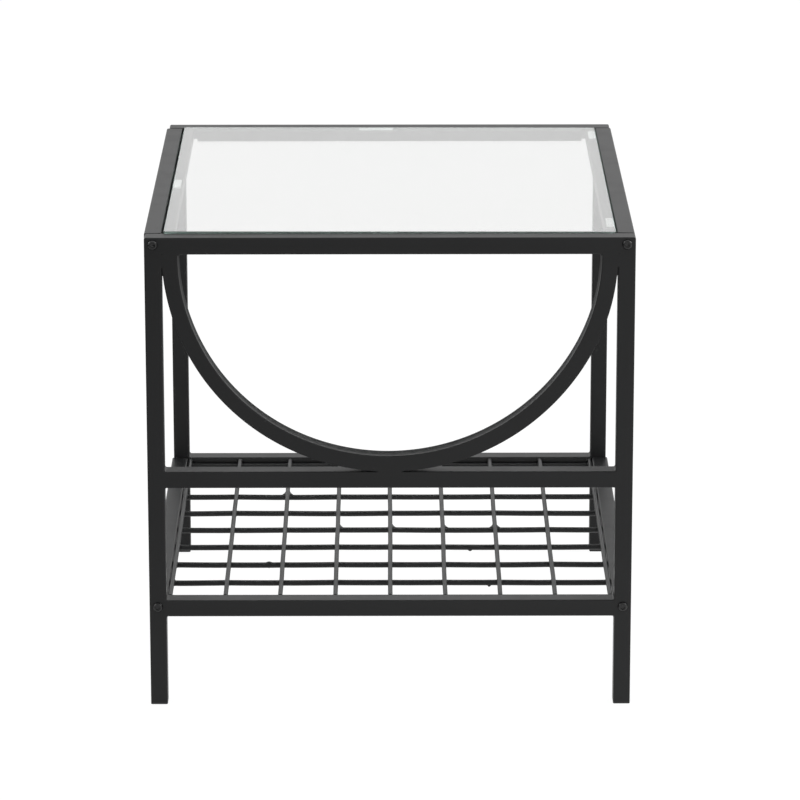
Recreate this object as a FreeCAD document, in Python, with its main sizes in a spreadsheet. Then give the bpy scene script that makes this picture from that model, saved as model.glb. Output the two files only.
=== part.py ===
"""Side table: a knock-down frame of square steel tube with a glass top, a rolled arc in its
front frame and a welded wire shelf.

Millimetres, +Z up, +X to the right, +Y to the back. The origin is on the floor under the
table's centre, so the front frame stands at negative Y.
"""
import FreeCAD, Part
import math
import os
import Sketcher

V = FreeCAD.Vector

# Driving dimensions, each written once. The model reads them from the sheet below.
SIZES = {
    # Overall frame, measured over the tubes and from the floor to the top rails' upper faces.
    "table_width": 500.0,
    "table_depth": 550.0,
    "table_height": 500.4,
    # Square tube of the side rails and the arc. The end frames' tubes are as wide but deeper.
    "tube_side": 17.6,
    "frame_tube_depth": 20.4,
    "tube_wall": 1.2,
    "tube_corner": 1.5,
    # Rounding of the end frames' upper corners, where the ground welds of the mitres are.
    "mitre_round": 2.0,
    # The back frame is narrower than the front one by this much at each side.
    "back_frame_inset": 1.8,
    # Height of the shelf rails' undersides above the floor.
    "shelf_underside": 96.2,
    # The rolled arc's centre lies this far above the top rail's underside, which cuts its ends.
    "arc_rise": 2.4,
    "arc_weld_gap": 0.1,
    # Smaller square tube inside the top rails, which carries the glass.
    "ledge_side": 12.0,
    "ledge_wall": 1.0,
    "ledge_corner": 1.2,
    "side_ledge_end_gap": 1.0,
    "end_ledge_end_gap": 4.5,
    # Glass top, which lies a little nearer to the front rail than to the back one.
    "glass_shift": 1.1,
    "glass_thickness": 6.0,
    "glass_edge_gap": 1.5,
    "glass_corner": 3.0,
    "glass_arris": 0.5,
    # Clear pads between ledge and glass.
    "pad_length": 38.0,
    "pad_width": 8.0,
    "pad_thickness": 1.5,
    # Round rods of the shelf, the crosswise ones thicker than the lengthwise ones.
    "cross_rod_diameter": 6.0,
    "long_rod_diameter": 4.8,
    "rod_weld_gap": 0.1,
    "long_rod_side_gap": 0.6,
    "long_rod_end_gap": 0.5,
    "cross_rod_end_gap": 0.5,
    # Button-head socket bolts, through the frames' corners into the side rails.
    "bolt_diameter": 6.0,
    "bolt_length": 30.0,
    "bolt_tip_chamfer": 0.8,
    "bolt_head_diameter": 10.5,
    "bolt_head_height": 3.3,
    "bolt_head_rim": 0.5,
    "bolt_crown_diameter": 6.4,
    "bolt_dome_radius": 5.4,
    "bolt_socket_width": 4.0,
    "bolt_socket_depth": 2.0,
    "bolt_hole_clearance": 0.25,
    "bolt_rise": 1.5,
    # Threaded blocks fixed in the side rails' ends.
    "insert_length": 14.0,
    "insert_gap": 0.1,
    "thread_gap": 0.05,
    # Plastic foot plugs.
    "foot_flange": 2.0,
    "foot_edge": 0.5,
    "foot_stem_length": 20.0,
    "foot_stem_wall": 1.6,
    "foot_stem_gap": 0.15,
    # How far a cut runs past what it cuts.
    "overrun": 2.0,
}

# Lengths that follow from the driving ones.
DERIVED = {
    "half_width": "table_width / 2",
    "half_depth": "table_depth / 2",
    "inner_half_width": "half_width - tube_side",
    "inner_half_depth": "half_depth - frame_tube_depth",
    "side_line": "half_width - tube_side / 2",
    "frame_line": "half_depth - frame_tube_depth / 2",
    "back_half_width": "half_width - back_frame_inset",
    "back_inner_half_width": "inner_half_width - back_frame_inset",
    "back_side_line": "side_line - back_frame_inset",
    "top_line": "table_height - tube_side / 2",
    "top_underside": "table_height - tube_side",
    "shelf_line": "shelf_underside + tube_side / 2",
    "leg_length": "table_height - foot_flange",
    "tube_half_bore": "tube_side / 2 - tube_wall",
    "frame_half_bore": "frame_tube_depth / 2 - tube_wall",
    "tube_bore_corner": "max(tube_corner - tube_wall; tube_wall / 4)",
    "through_cut": "frame_tube_depth + 2 * overrun",
    "arc_outer_radius": "inner_half_width - arc_weld_gap",
    "arc_middle_radius": "arc_outer_radius - tube_side / 2",
    "arc_line": "half_depth - tube_side / 2",
    "arc_height": "top_underside + arc_rise",
    "middle_rail_line": "arc_height - arc_outer_radius - arc_weld_gap - tube_side / 2",
    "ledge_half_bore": "ledge_side / 2 - ledge_wall",
    "ledge_bore_corner": "max(ledge_corner - ledge_wall; ledge_wall / 4)",
    "ledge_line": "top_underside + ledge_side / 2",
    "ledge_top": "top_underside + ledge_side",
    "side_ledge_reach": "inner_half_depth - side_ledge_end_gap",
    "end_ledge_reach": "inner_half_width - ledge_side - end_ledge_end_gap",
    "side_pad_line": "inner_half_width - ledge_side / 2",
    "end_pad_line": "inner_half_depth - ledge_side / 2",
    "glass_underside": "ledge_top + pad_thickness",
    "glass_half_width": "inner_half_width - glass_edge_gap",
    "glass_half_depth": "inner_half_depth - glass_edge_gap",
    "cross_rod_radius": "cross_rod_diameter / 2",
    "long_rod_radius": "long_rod_diameter / 2",
    "cross_rod_reach": "inner_half_depth - cross_rod_end_gap - cross_rod_radius",
    "long_rod_reach": "inner_half_width - long_rod_side_gap - long_rod_radius",
    "long_rod_half_length": "inner_half_depth - long_rod_end_gap",
    "long_rod_line": "shelf_line + cross_rod_radius + rod_weld_gap + long_rod_radius",
    "bolt_hole_radius": "bolt_diameter / 2 + bolt_hole_clearance",
    "insert_half_side": "tube_half_bore - insert_gap",
    "insert_bore_radius": "bolt_diameter / 2 + thread_gap",
    "stem_half_side": "tube_half_bore - foot_stem_gap",
    "stem_half_depth": "frame_half_bore - foot_stem_gap",
}

# Rods each way across the shelf. The number is odd, so that one lies on each centre line.
RODS_EACH_WAY = 9

# Places of the pads along their ledges, as shares of the table's depth or width from its centre.
RIGHT_PAD_SHARES = (-0.375, 0.398)
LEFT_PAD_SHARES = (-0.052,)
END_PAD_SHARE = -0.03

doc = FreeCAD.newDocument("side_table")
sheet = doc.addObject("Spreadsheet::Sheet", "Sizes")


def fill_sheet():
    """Write every size into the sheet, the driving ones as numbers, the others as formulas."""
    cells = {alias: str(length) for alias, length in SIZES.items()}
    cells.update({alias: f"={formula}" for alias, formula in DERIVED.items()})
    for row, (alias, content) in enumerate(cells.items(), start=1):
        sheet.set(f"A{row}", alias)
        sheet.set(f"B{row}", content)
        sheet.setAlias(f"B{row}", alias)
    doc.recompute()


fill_sheet()

# Turns that lay a tube, drawn upright along its own Z, along the table's X or Y.
UPRIGHT = FreeCAD.Rotation()
ALONG_X = FreeCAD.Rotation(V(0, 1, 0), 90)
ALONG_Y = FreeCAD.Rotation(V(1, 0, 0), -90)

# Turn that points a bolt's head, drawn upwards, to the front.
HEAD_TO_FRONT = FreeCAD.Rotation(V(1, 0, 0), 90)

# Directions across the table's two middle planes, for pieces that repeat on the other side.
ACROSS = V(1, 0, 0)
FRONT_TO_BACK = V(0, 1, 0)

subparts = []


def keep(item, label):
    """Name an object as a sub-part of the table."""
    item.Label = label
    subparts.append(item)
    return item


def worked_out(formula):
    """Give today's value of a formula over the sheet."""
    return float(sheet.evalExpression(formula))


def place(item, turn, x="0", y="0", z="0"):
    """Turn an object and tie its base point to formulas over the sheet."""
    item.Placement = FreeCAD.Placement(V(), turn)
    for axis, formula in (("x", x), ("y", y), ("z", z)):
        item.setExpression(f"Placement.Base.{axis}", formula)


def mirrored(source, label, normal):
    """Give the same piece on the other side of one of the table's middle planes."""
    twin = doc.addObject("Part::Mirroring", label)
    twin.Source = source
    twin.Normal = normal
    return twin


def new_sketch(body, name, role):
    """Start a sketch on one of the body's own origin planes."""
    sketch = body.newObject("Sketcher::SketchObject", f"{body.Name}_{name}")
    plane = next(item for item in body.Origin.OriginFeatures if item.Role == role)
    sketch.AttachmentSupport = [(plane, "")]
    sketch.MapMode = "FlatFace"
    return sketch


def size_constraint(sketch, constraint, formula):
    """Add a constraint and tie its value to a formula over the sheet."""
    index = sketch.addConstraint(constraint)
    sketch.setExpression(f"Constraints[{index}]", formula)


def distance(sketch, kind, geometry, end, formula):
    """Hold a point at a signed distance from the sketch's origin, across or up."""
    ends = (-1, 1, geometry, end)
    value = worked_out(formula)
    if value < 0:
        ends = (geometry, end, -1, 1)
        value = -value
        formula = f"-({formula})"
    size_constraint(sketch, Sketcher.Constraint(kind, *ends, value), formula)


def pin_point(sketch, geometry, end, across, up):
    """Hold a point at two formulas, where None puts it on the other axis."""
    if across is None:
        sketch.addConstraint(Sketcher.Constraint("PointOnObject", geometry, end, -2))
    else:
        distance(sketch, "DistanceX", geometry, end, across)
    if up is None:
        sketch.addConstraint(Sketcher.Constraint("PointOnObject", geometry, end, -1))
    else:
        distance(sketch, "DistanceY", geometry, end, up)


def curved_side(start, end, radius, hollow):
    """Give the arc between two corners of an anticlockwise outline, bulging out of it or hollow."""
    chord = end - start
    reach = math.sqrt(radius ** 2 - (chord.Length / 2) ** 2)
    inward = V(-chord.y, chord.x, 0).normalize()
    centre = (start + end) / 2 + inward * (-reach if hollow else reach)
    spots = (end, start) if hollow else (start, end)
    angles = [math.atan2(spot.y - centre.y, spot.x - centre.x) for spot in spots]
    return Part.ArcOfCircle(Part.Circle(centre, V(0, 0, 1), radius), *angles)


def draw_outline(sketch, corners, arc_side=None, arc_radius=None, hollow=False):
    """Draw a closed outline through corners given as formulas, with one side an arc if asked."""
    spots = [V(*[0 if part is None else worked_out(part) for part in corner], 0) for corner in corners]
    sides = len(spots)
    # An arc is kept anticlockwise about its own centre, so a hollow one runs from end to start.
    starts = [1] * sides
    ends = [2] * sides
    for side, start in enumerate(spots):
        end = spots[(side + 1) % sides]
        if side == arc_side:
            sketch.addGeometry(curved_side(start, end, worked_out(arc_radius), hollow), False)
            if hollow:
                starts[side], ends[side] = 2, 1
        else:
            sketch.addGeometry(Part.LineSegment(start, end), False)
    for side, (across, up) in enumerate(corners):
        following = (side + 1) % sides
        meeting = (side, ends[side], following, starts[following])
        sketch.addConstraint(Sketcher.Constraint("Coincident", *meeting))
        pin_point(sketch, side, starts[side], across, up)
    if arc_side is not None:
        radius = Sketcher.Constraint("Radius", arc_side, worked_out(arc_radius))
        size_constraint(sketch, radius, arc_radius)


def draw_rounded_box(sketch, half_across, half_up, corner, middle="0"):
    """Draw a rectangle with round corners about a point of the sketch's own X axis."""
    across, up, round_off, shift = (
        worked_out(formula) for formula in (half_across, half_up, corner, middle)
    )
    # The lower line comes first and the others follow anticlockwise.
    straight_across = across - round_off
    straight_up = up - round_off
    lines = [
        (V(-straight_across, -up, 0), V(straight_across, -up, 0)),
        (V(across, -straight_up, 0), V(across, straight_up, 0)),
        (V(straight_across, up, 0), V(-straight_across, up, 0)),
        (V(-across, straight_up, 0), V(-across, -straight_up, 0)),
    ]
    centres = [
        V(straight_across, -straight_up, 0),
        V(straight_across, straight_up, 0),
        V(-straight_across, straight_up, 0),
        V(-straight_across, -straight_up, 0),
    ]
    offset = V(shift, 0, 0)
    first = sketch.GeometryCount
    for start, end in lines:
        sketch.addGeometry(Part.LineSegment(start + offset, end + offset), False)
    for turn, centre in enumerate(centres):
        circle = Part.Circle(centre + offset, V(0, 0, 1), round_off)
        begin = (turn - 1) * math.pi / 2
        sketch.addGeometry(Part.ArcOfCircle(circle, begin, begin + math.pi / 2), False)
    for side in range(4):
        line = first + side
        bend = first + 4 + side
        following = first + (side + 1) % 4
        sketch.addConstraint(Sketcher.Constraint("Tangent", line, 2, bend, 1))
        sketch.addConstraint(Sketcher.Constraint("Tangent", bend, 2, following, 1))
        direction = "Vertical" if side % 2 else "Horizontal"
        sketch.addConstraint(Sketcher.Constraint(direction, line))
        if side:
            sketch.addConstraint(Sketcher.Constraint("Equal", first + 4, bend))
    distance(sketch, "DistanceY", first, 1, f"-({half_up})")
    distance(sketch, "DistanceX", first + 1, 1, f"{middle} + {half_across}")
    distance(sketch, "DistanceY", first + 2, 1, half_up)
    distance(sketch, "DistanceX", first + 3, 1, f"{middle} - {half_across}")
    size_constraint(sketch, Sketcher.Constraint("Radius", first + 4, round_off), corner)


def draw_square(sketch, half_side, corner, middle="0"):
    """Draw a square with round corners about a point of the sketch's own X axis."""
    draw_rounded_box(sketch, half_side, half_side, corner, middle)


def draw_circle(sketch, across, up, radius):
    """Draw a circle whose centre and radius are formulas over the sheet."""
    centre = V(0 if across is None else worked_out(across), 0 if up is None else worked_out(up), 0)
    index = sketch.addGeometry(Part.Circle(centre, V(0, 0, 1), worked_out(radius)), False)
    pin_point(sketch, index, 3, across, up)
    size_constraint(sketch, Sketcher.Constraint("Radius", index, worked_out(radius)), radius)


def pad(body, sketch, length):
    """Raise a sketch into a solid."""
    feature = body.newObject("PartDesign::Pad", f"{sketch.Name}_pad")
    feature.Profile = sketch
    feature.setExpression("Length", length)
    sketch.Visibility = False
    doc.recompute()
    return feature


def cut_across(body, sketch):
    """Cut a sketch right through a tube, to both sides of the sketch's plane."""
    feature = body.newObject("PartDesign::Pocket", f"{sketch.Name}_cut")
    feature.Profile = sketch
    feature.SideType = "Symmetric"
    feature.setExpression("Length", "Sizes.through_cut")
    sketch.Visibility = False
    doc.recompute()


def revolve(body, sketch, angle, backwards=False):
    """Turn a sketch about its own upright axis."""
    feature = body.newObject("PartDesign::Revolution", f"{sketch.Name}_turned")
    feature.Profile = sketch
    feature.ReferenceAxis = (sketch, ["V_Axis"])
    feature.Angle = angle
    feature.Reversed = backwards
    sketch.Visibility = False
    doc.recompute()


def tube(label, length, kind="tube"):
    """Make a straight square tube, drawn upright from its own origin."""
    body = keep(doc.addObject("PartDesign::Body", label), label)
    section = new_sketch(body, "section", "XY_Plane")
    draw_square(section, f"Sizes.{kind}_side / 2", f"Sizes.{kind}_corner")
    draw_square(section, f"Sizes.{kind}_half_bore", f"Sizes.{kind}_bore_corner")
    pad(body, section, length)
    return body


def frame_tube(label, length):
    """Make a straight tube of the end frames, drawn upright from its own origin, its depth along Y."""
    body = keep(doc.addObject("PartDesign::Body", label), label)
    section = new_sketch(body, "section", "XY_Plane")
    draw_rounded_box(section, "Sizes.tube_side / 2", "Sizes.frame_tube_depth / 2", "Sizes.tube_corner")
    draw_rounded_box(section, "Sizes.tube_half_bore", "Sizes.frame_half_bore", "Sizes.tube_bore_corner")
    pad(body, section, length)
    return body


def mitre_top(body, length):
    """Cut a tube's upper end at 45 degrees, its -X side the longer one, and round that corner."""
    mitre = new_sketch(body, "upper_mitre", "XZ_Plane")
    beside = "(Sizes.tube_side / 2 + Sizes.overrun)"
    above = f"{length} + Sizes.overrun"
    below = f"{length} - Sizes.tube_side - Sizes.overrun"
    draw_outline(mitre, [(beside, below), (beside, above), (f"-{beside}", above)])
    cut_across(body, mitre)
    corner = new_sketch(body, "upper_corner", "XZ_Plane")
    round_start = f"{length} - Sizes.mitre_round"
    round_end = "Sizes.mitre_round - Sizes.tube_side / 2"
    draw_outline(corner, [
        ("-Sizes.tube_side / 2", round_start),
        (round_end, length),
        (round_end, above),
        (f"-{beside}", above),
        (f"-{beside}", round_start),
    ], arc_side=0, arc_radius="Sizes.mitre_round", hollow=True)
    cut_across(body, corner)


def mitre_bottom(body):
    """Cut a tube's lower end at 45 degrees, its -X side the longer one, and round that corner."""
    mitre = new_sketch(body, "lower_mitre", "XZ_Plane")
    beside = "(Sizes.tube_side / 2 + Sizes.overrun)"
    above = "Sizes.tube_side + Sizes.overrun"
    below = "-Sizes.overrun"
    draw_outline(mitre, [(f"-{beside}", below), (beside, below), (beside, above)])
    cut_across(body, mitre)
    corner = new_sketch(body, "lower_corner", "XZ_Plane")
    round_end = "Sizes.mitre_round - Sizes.tube_side / 2"
    draw_outline(corner, [
        (round_end, None),
        ("-Sizes.tube_side / 2", "Sizes.mitre_round"),
        (f"-{beside}", "Sizes.mitre_round"),
        (f"-{beside}", below),
        (round_end, below),
    ], arc_side=0, arc_radius="Sizes.mitre_round", hollow=True)
    cut_across(body, corner)


def bolt_hole(body, name, across, up):
    """Drill a tube through from front to back, centred at a point of its own XZ plane."""
    sketch = new_sketch(body, name, "XZ_Plane")
    draw_circle(sketch, across, up, "Sizes.bolt_hole_radius")
    cut_across(body, sketch)


def make_legs():
    """Make the four legs, mitred at the top and drilled for the side rails' bolts.

    The bolts stand in line with the side rails, so in the narrower back frame they pass
    outside the middle of the legs.
    """
    own_rise = "Sizes.bolt_rise - Sizes.foot_flange"
    for end, side_line, frame_line, hole_shift in (
        ("front", "Sizes.side_line", "-Sizes.frame_line", None),
        ("back", "Sizes.back_side_line", "Sizes.frame_line", "-Sizes.back_frame_inset"),
    ):
        leg = frame_tube(f"leg_{end}_left", "Sizes.leg_length")
        mitre_top(leg, "Sizes.leg_length")
        for level in ("top", "shelf"):
            bolt_hole(leg, f"{level}_hole", hole_shift, f"Sizes.{level}_line + {own_rise}")
        place(leg, UPRIGHT, f"-{side_line}", frame_line, "Sizes.foot_flange")
        keep(mirrored(leg, f"leg_{end}_right", ACROSS), f"leg_{end}_right")


def make_top_end_rails():
    """Make the front and back top rails, mitred to the legs and drilled like them."""
    for end, half_width, frame_line in (
        ("front", "Sizes.half_width", "-Sizes.frame_line"),
        ("back", "Sizes.back_half_width", "Sizes.frame_line"),
    ):
        length = f"2 * {half_width}"
        rail = frame_tube(f"top_rail_{end}", length)
        mitre_bottom(rail)
        mitre_top(rail, length)
        bolt_hole(rail, "left_hole", "-Sizes.bolt_rise", f"{half_width} - Sizes.side_line")
        bolt_hole(rail, "right_hole", "-Sizes.bolt_rise", f"{half_width} + Sizes.side_line")
        place(rail, ALONG_X, f"-{half_width}", frame_line, "Sizes.top_line")


def make_cross_rails():
    """Make the rails between the legs: both shelf rails and the front frame's middle rail."""
    front = ("Sizes.inner_half_width", "-Sizes.frame_line")
    back = ("Sizes.back_inner_half_width", "Sizes.frame_line")
    for label, (half_length, line), height in (
        ("shelf_rail_front", front, "Sizes.shelf_line"),
        ("shelf_rail_back", back, "Sizes.shelf_line"),
        ("middle_rail_front", front, "Sizes.middle_rail_line"),
    ):
        rail = frame_tube(label, f"2 * {half_length}")
        place(rail, ALONG_X, f"-{half_length}", line, height)


def make_side_rails():
    """Make the rails that join the two end frames, at the top and at shelf height."""
    for level in ("top", "shelf"):
        rail = tube(f"{level}_rail_left", "2 * Sizes.inner_half_depth")
        place(rail, ALONG_Y, "-Sizes.side_line", "-Sizes.inner_half_depth", f"Sizes.{level}_line")
        keep(mirrored(rail, f"{level}_rail_right", ACROSS), f"{level}_rail_right")


def make_arc():
    """Make the rolled tube under the front top rail, its ends cut flat against the rail."""
    body = keep(doc.addObject("PartDesign::Body", "arc_front"), "arc_front")
    section = new_sketch(body, "section", "XY_Plane")
    middle = "-Sizes.arc_middle_radius"
    draw_square(section, "Sizes.tube_side / 2", "Sizes.tube_corner", middle)
    draw_square(section, "Sizes.tube_half_bore", "Sizes.tube_bore_corner", middle)
    revolve(body, section, 180, backwards=True)
    ends = new_sketch(body, "ends", "XZ_Plane")
    beside = "(Sizes.arc_outer_radius + Sizes.overrun)"
    above = "Sizes.overrun"
    below = "-Sizes.arc_rise"
    draw_outline(ends, [(f"-{beside}", below), (beside, below), (beside, above), (f"-{beside}", above)])
    cut_across(body, ends)
    place(body, UPRIGHT, "0", "-Sizes.arc_line", "Sizes.arc_height")


def make_ledges():
    """Make the smaller tubes inside the top rails, level with the rails' undersides."""
    side = tube("ledge_left", "2 * Sizes.side_ledge_reach", kind="ledge")
    place(side, ALONG_Y, "-Sizes.side_pad_line", "-Sizes.side_ledge_reach", "Sizes.ledge_line")
    keep(mirrored(side, "ledge_right", ACROSS), "ledge_right")
    end = tube("ledge_front", "2 * Sizes.end_ledge_reach", kind="ledge")
    place(end, ALONG_X, "-Sizes.end_ledge_reach", "-Sizes.end_pad_line", "Sizes.ledge_line")
    keep(mirrored(end, "ledge_back", FRONT_TO_BACK), "ledge_back")


def rod(label, radius, turn, length, **spot):
    """Make one straight round rod of the shelf."""
    cylinder = keep(doc.addObject("Part::Cylinder", label), label)
    cylinder.setExpression("Radius", radius)
    cylinder.setExpression("Height", length)
    place(cylinder, turn, **spot)


def make_shelf():
    """Make the shelf's rods: crosswise ones between the rails, lengthwise ones on top of them."""
    rods_beside_middle = RODS_EACH_WAY // 2
    for number in range(1, RODS_EACH_WAY + 1):
        share = (number - 1) / rods_beside_middle - 1
        rod(f"cross_rod_{number}", "Sizes.cross_rod_radius", ALONG_X, "2 * Sizes.inner_half_width",
            x="-Sizes.inner_half_width", y=f"Sizes.cross_rod_reach * ({share})", z="Sizes.shelf_line")
        rod(f"long_rod_{number}", "Sizes.long_rod_radius", ALONG_Y, "2 * Sizes.long_rod_half_length",
            x=f"Sizes.long_rod_reach * ({share})", y="-Sizes.long_rod_half_length",
            z="Sizes.long_rod_line")


def make_glass():
    """Make the loose glass top, with round corners and a ground arris along every edge."""
    body = keep(doc.addObject("PartDesign::Body", "glass_top"), "glass_top")
    outline = new_sketch(body, "outline", "XY_Plane")
    draw_rounded_box(outline, "Sizes.glass_half_width", "Sizes.glass_half_depth", "Sizes.glass_corner")
    plate = pad(body, outline, "Sizes.glass_thickness")
    flat_faces = [
        f"Face{number}" for number, face in enumerate(plate.Shape.Faces, start=1)
        if face.normalAt(0, 0).cross(V(0, 0, 1)).Length < abs(face.normalAt(0, 0).z)
    ]
    arris = body.newObject("PartDesign::Chamfer", "glass_arris")
    arris.Base = (plate, flat_faces)
    arris.setExpression("Size", "Sizes.glass_arris")
    place(body, UPRIGHT, y="-Sizes.glass_shift", z="Sizes.glass_underside")


def glass_pad(name, across_x, middle_x, middle_y):
    """Make one pad on a ledge, lying along X or along Y."""
    long_side, short_side = ("Length", "Width") if across_x else ("Width", "Length")
    reach = {"Length": "Sizes.pad_width / 2", "Width": "Sizes.pad_width / 2"}
    reach[long_side] = "Sizes.pad_length / 2"
    strip = doc.addObject("Part::Box", name)
    strip.setExpression(long_side, "Sizes.pad_length")
    strip.setExpression(short_side, "Sizes.pad_width")
    strip.setExpression("Height", "Sizes.pad_thickness")
    place(strip, UPRIGHT, f"{middle_x} - {reach['Length']}", f"{middle_y} - {reach['Width']}",
          "Sizes.ledge_top")
    return strip


def make_glass_pads():
    """Make the clear pads that the glass lies on, one or two to a ledge."""
    pads = [
        glass_pad(f"pad_right_{number}", False, "Sizes.side_pad_line", f"Sizes.table_depth * ({share})")
        for number, share in enumerate(RIGHT_PAD_SHARES, start=1)
    ]
    pads += [
        glass_pad(f"pad_left_{number}", False, "-Sizes.side_pad_line", f"Sizes.table_depth * ({share})")
        for number, share in enumerate(LEFT_PAD_SHARES, start=1)
    ]
    back = glass_pad("pad_back", True, f"Sizes.table_width * ({END_PAD_SHARE})", "Sizes.end_pad_line")
    pads += [back, mirrored(back, "pad_front", FRONT_TO_BACK)]
    group = keep(doc.addObject("Part::Compound", "glass_pads"), "glass_pads")
    group.Links = pads


def at_four_corners(piece, label):
    """Group a front left piece with its like at the other three corners."""
    right = mirrored(piece, f"{label}_right", ACROSS)
    back = mirrored(piece, f"{label}_back", FRONT_TO_BACK)
    far = mirrored(right, f"{label}_far", FRONT_TO_BACK)
    group = keep(doc.addObject("Part::Compound", label), label)
    group.Links = [piece, right, back, far]


def draw_hexagon(sketch, width):
    """Draw a regular hexagon with the given width across its flats."""
    point = f"{width} / sqrt(3)"
    half_side = f"{width} / (2 * sqrt(3))"
    flat = f"{width} / 2"
    draw_outline(sketch, [
        (point, None), (half_side, flat), (f"-{half_side}", flat),
        (f"-{point}", None), (f"-{half_side}", f"-{flat}"), (half_side, f"-{flat}"),
    ])


def make_bolts(level):
    """Make the four button-head socket bolts of one level, heads outwards, drawn about +Z."""
    body = doc.addObject("PartDesign::Body", f"bolt_{level}")
    profile = new_sketch(body, "profile", "XZ_Plane")
    shank = "Sizes.bolt_diameter / 2"
    head = "Sizes.bolt_head_diameter / 2"
    tip = "-Sizes.bolt_length"
    corners = [
        (None, tip),
        (f"{shank} - Sizes.bolt_tip_chamfer", tip),
        (shank, f"{tip} + Sizes.bolt_tip_chamfer"),
        (shank, None),
        (head, None),
        (head, "Sizes.bolt_head_rim"),
        ("Sizes.bolt_crown_diameter / 2", "Sizes.bolt_head_height"),
        (None, "Sizes.bolt_head_height"),
    ]
    draw_outline(profile, corners, arc_side=5, arc_radius="Sizes.bolt_dome_radius")
    revolve(body, profile, 360)
    socket = new_sketch(body, "socket", "XY_Plane")
    socket.setExpression("AttachmentOffset.Base.z", "Sizes.bolt_head_height")
    draw_hexagon(socket, "Sizes.bolt_socket_width")
    recess = body.newObject("PartDesign::Pocket", f"{socket.Name}_recess")
    recess.Profile = socket
    recess.setExpression("Length", "Sizes.bolt_socket_depth")
    socket.Visibility = False
    place(body, HEAD_TO_FRONT, "-Sizes.side_line", "-Sizes.half_depth",
          f"Sizes.{level}_line + Sizes.bolt_rise")
    at_four_corners(body, f"frame_bolts_{level}")


def make_inserts(level):
    """Make the four threaded blocks in one level's side rails, bored above their middle."""
    body = doc.addObject("PartDesign::Body", f"insert_{level}")
    section = new_sketch(body, "section", "XY_Plane")
    draw_square(section, "Sizes.insert_half_side", "Sizes.tube_bore_corner")
    draw_circle(section, None, "-Sizes.bolt_rise", "Sizes.insert_bore_radius")
    pad(body, section, "Sizes.insert_length")
    place(body, ALONG_Y, "-Sizes.side_line", "-Sizes.inner_half_depth", f"Sizes.{level}_line")
    at_four_corners(body, f"rail_inserts_{level}")


def make_foot(label, side_line, frame_line):
    """Make one left foot plug: a thin flange under the tube and a hollow stem inside it."""
    foot = keep(doc.addObject("PartDesign::Body", label), label)
    outline = new_sketch(foot, "outline", "XY_Plane")
    draw_rounded_box(outline, "Sizes.tube_side / 2", "Sizes.frame_tube_depth / 2", "Sizes.tube_corner")
    flange = pad(foot, outline, "Sizes.foot_flange")
    lowest = min(range(len(flange.Shape.Faces)), key=lambda i: flange.Shape.Faces[i].CenterOfMass.z)
    edge = foot.newObject("PartDesign::Chamfer", "foot_edge")
    edge.Base = (flange, [f"Face{lowest + 1}"])
    edge.setExpression("Size", "Sizes.foot_edge")
    doc.recompute()
    stem = new_sketch(foot, "stem", "XY_Plane")
    stem.setExpression("AttachmentOffset.Base.z", "Sizes.foot_flange")
    draw_rounded_box(stem, "Sizes.stem_half_side", "Sizes.stem_half_depth", "Sizes.tube_bore_corner")
    draw_rounded_box(stem, "(Sizes.stem_half_side - Sizes.foot_stem_wall)",
                     "(Sizes.stem_half_depth - Sizes.foot_stem_wall)", "Sizes.tube_bore_corner")
    pad(foot, stem, "Sizes.foot_stem_length")
    place(foot, UPRIGHT, side_line, frame_line)
    return foot


def make_feet():
    """Make the four foot plugs, one in each leg's lower end."""
    for end, side_line, frame_line in (
        ("front", "-Sizes.side_line", "-Sizes.frame_line"),
        ("back", "-Sizes.back_side_line", "Sizes.frame_line"),
    ):
        foot = make_foot(f"foot_{end}_left", side_line, frame_line)
        keep(mirrored(foot, f"foot_{end}_right", ACROSS), f"foot_{end}_right")


def check_document():
    """Stop if any object failed, or any sub-part has no valid shape."""
    doc.recompute()
    for item in doc.Objects:
        if "Invalid" in item.State or "Error" in item.State:
            raise RuntimeError(f"{item.Label} failed: {item.State}")
    for item in subparts:
        if item.Shape.isNull() or not item.Shape.isValid():
            raise RuntimeError(f"{item.Label} has no valid shape")


def write_parts():
    """Write each sub-part to a file of its own."""
    os.makedirs("parts", exist_ok=True)
    for item in subparts:
        item.Shape.exportStep(f"parts/{item.Label}.step")
        print(item.Label, len(item.Shape.Solids), round(item.Shape.Volume, 1))


make_legs()
make_top_end_rails()
make_cross_rails()
make_side_rails()
make_arc()
make_ledges()
make_shelf()
make_glass()
make_glass_pads()
for rail_level in ("top", "shelf"):
    make_bolts(rail_level)
    make_inserts(rail_level)
make_feet()
check_document()
write_parts()
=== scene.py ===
"""Side table of black steel tube with an inset glass top, a rolled arc and a mesh shelf.

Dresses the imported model. Metres, +Z up, +X to the right, +Y to the back, with the origin on
the floor under the table's centre, so the front frame with the arc stands at negative Y.
"""

import logging
import math
from dataclasses import dataclass, replace
from enum import Enum
from functools import cached_property

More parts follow.
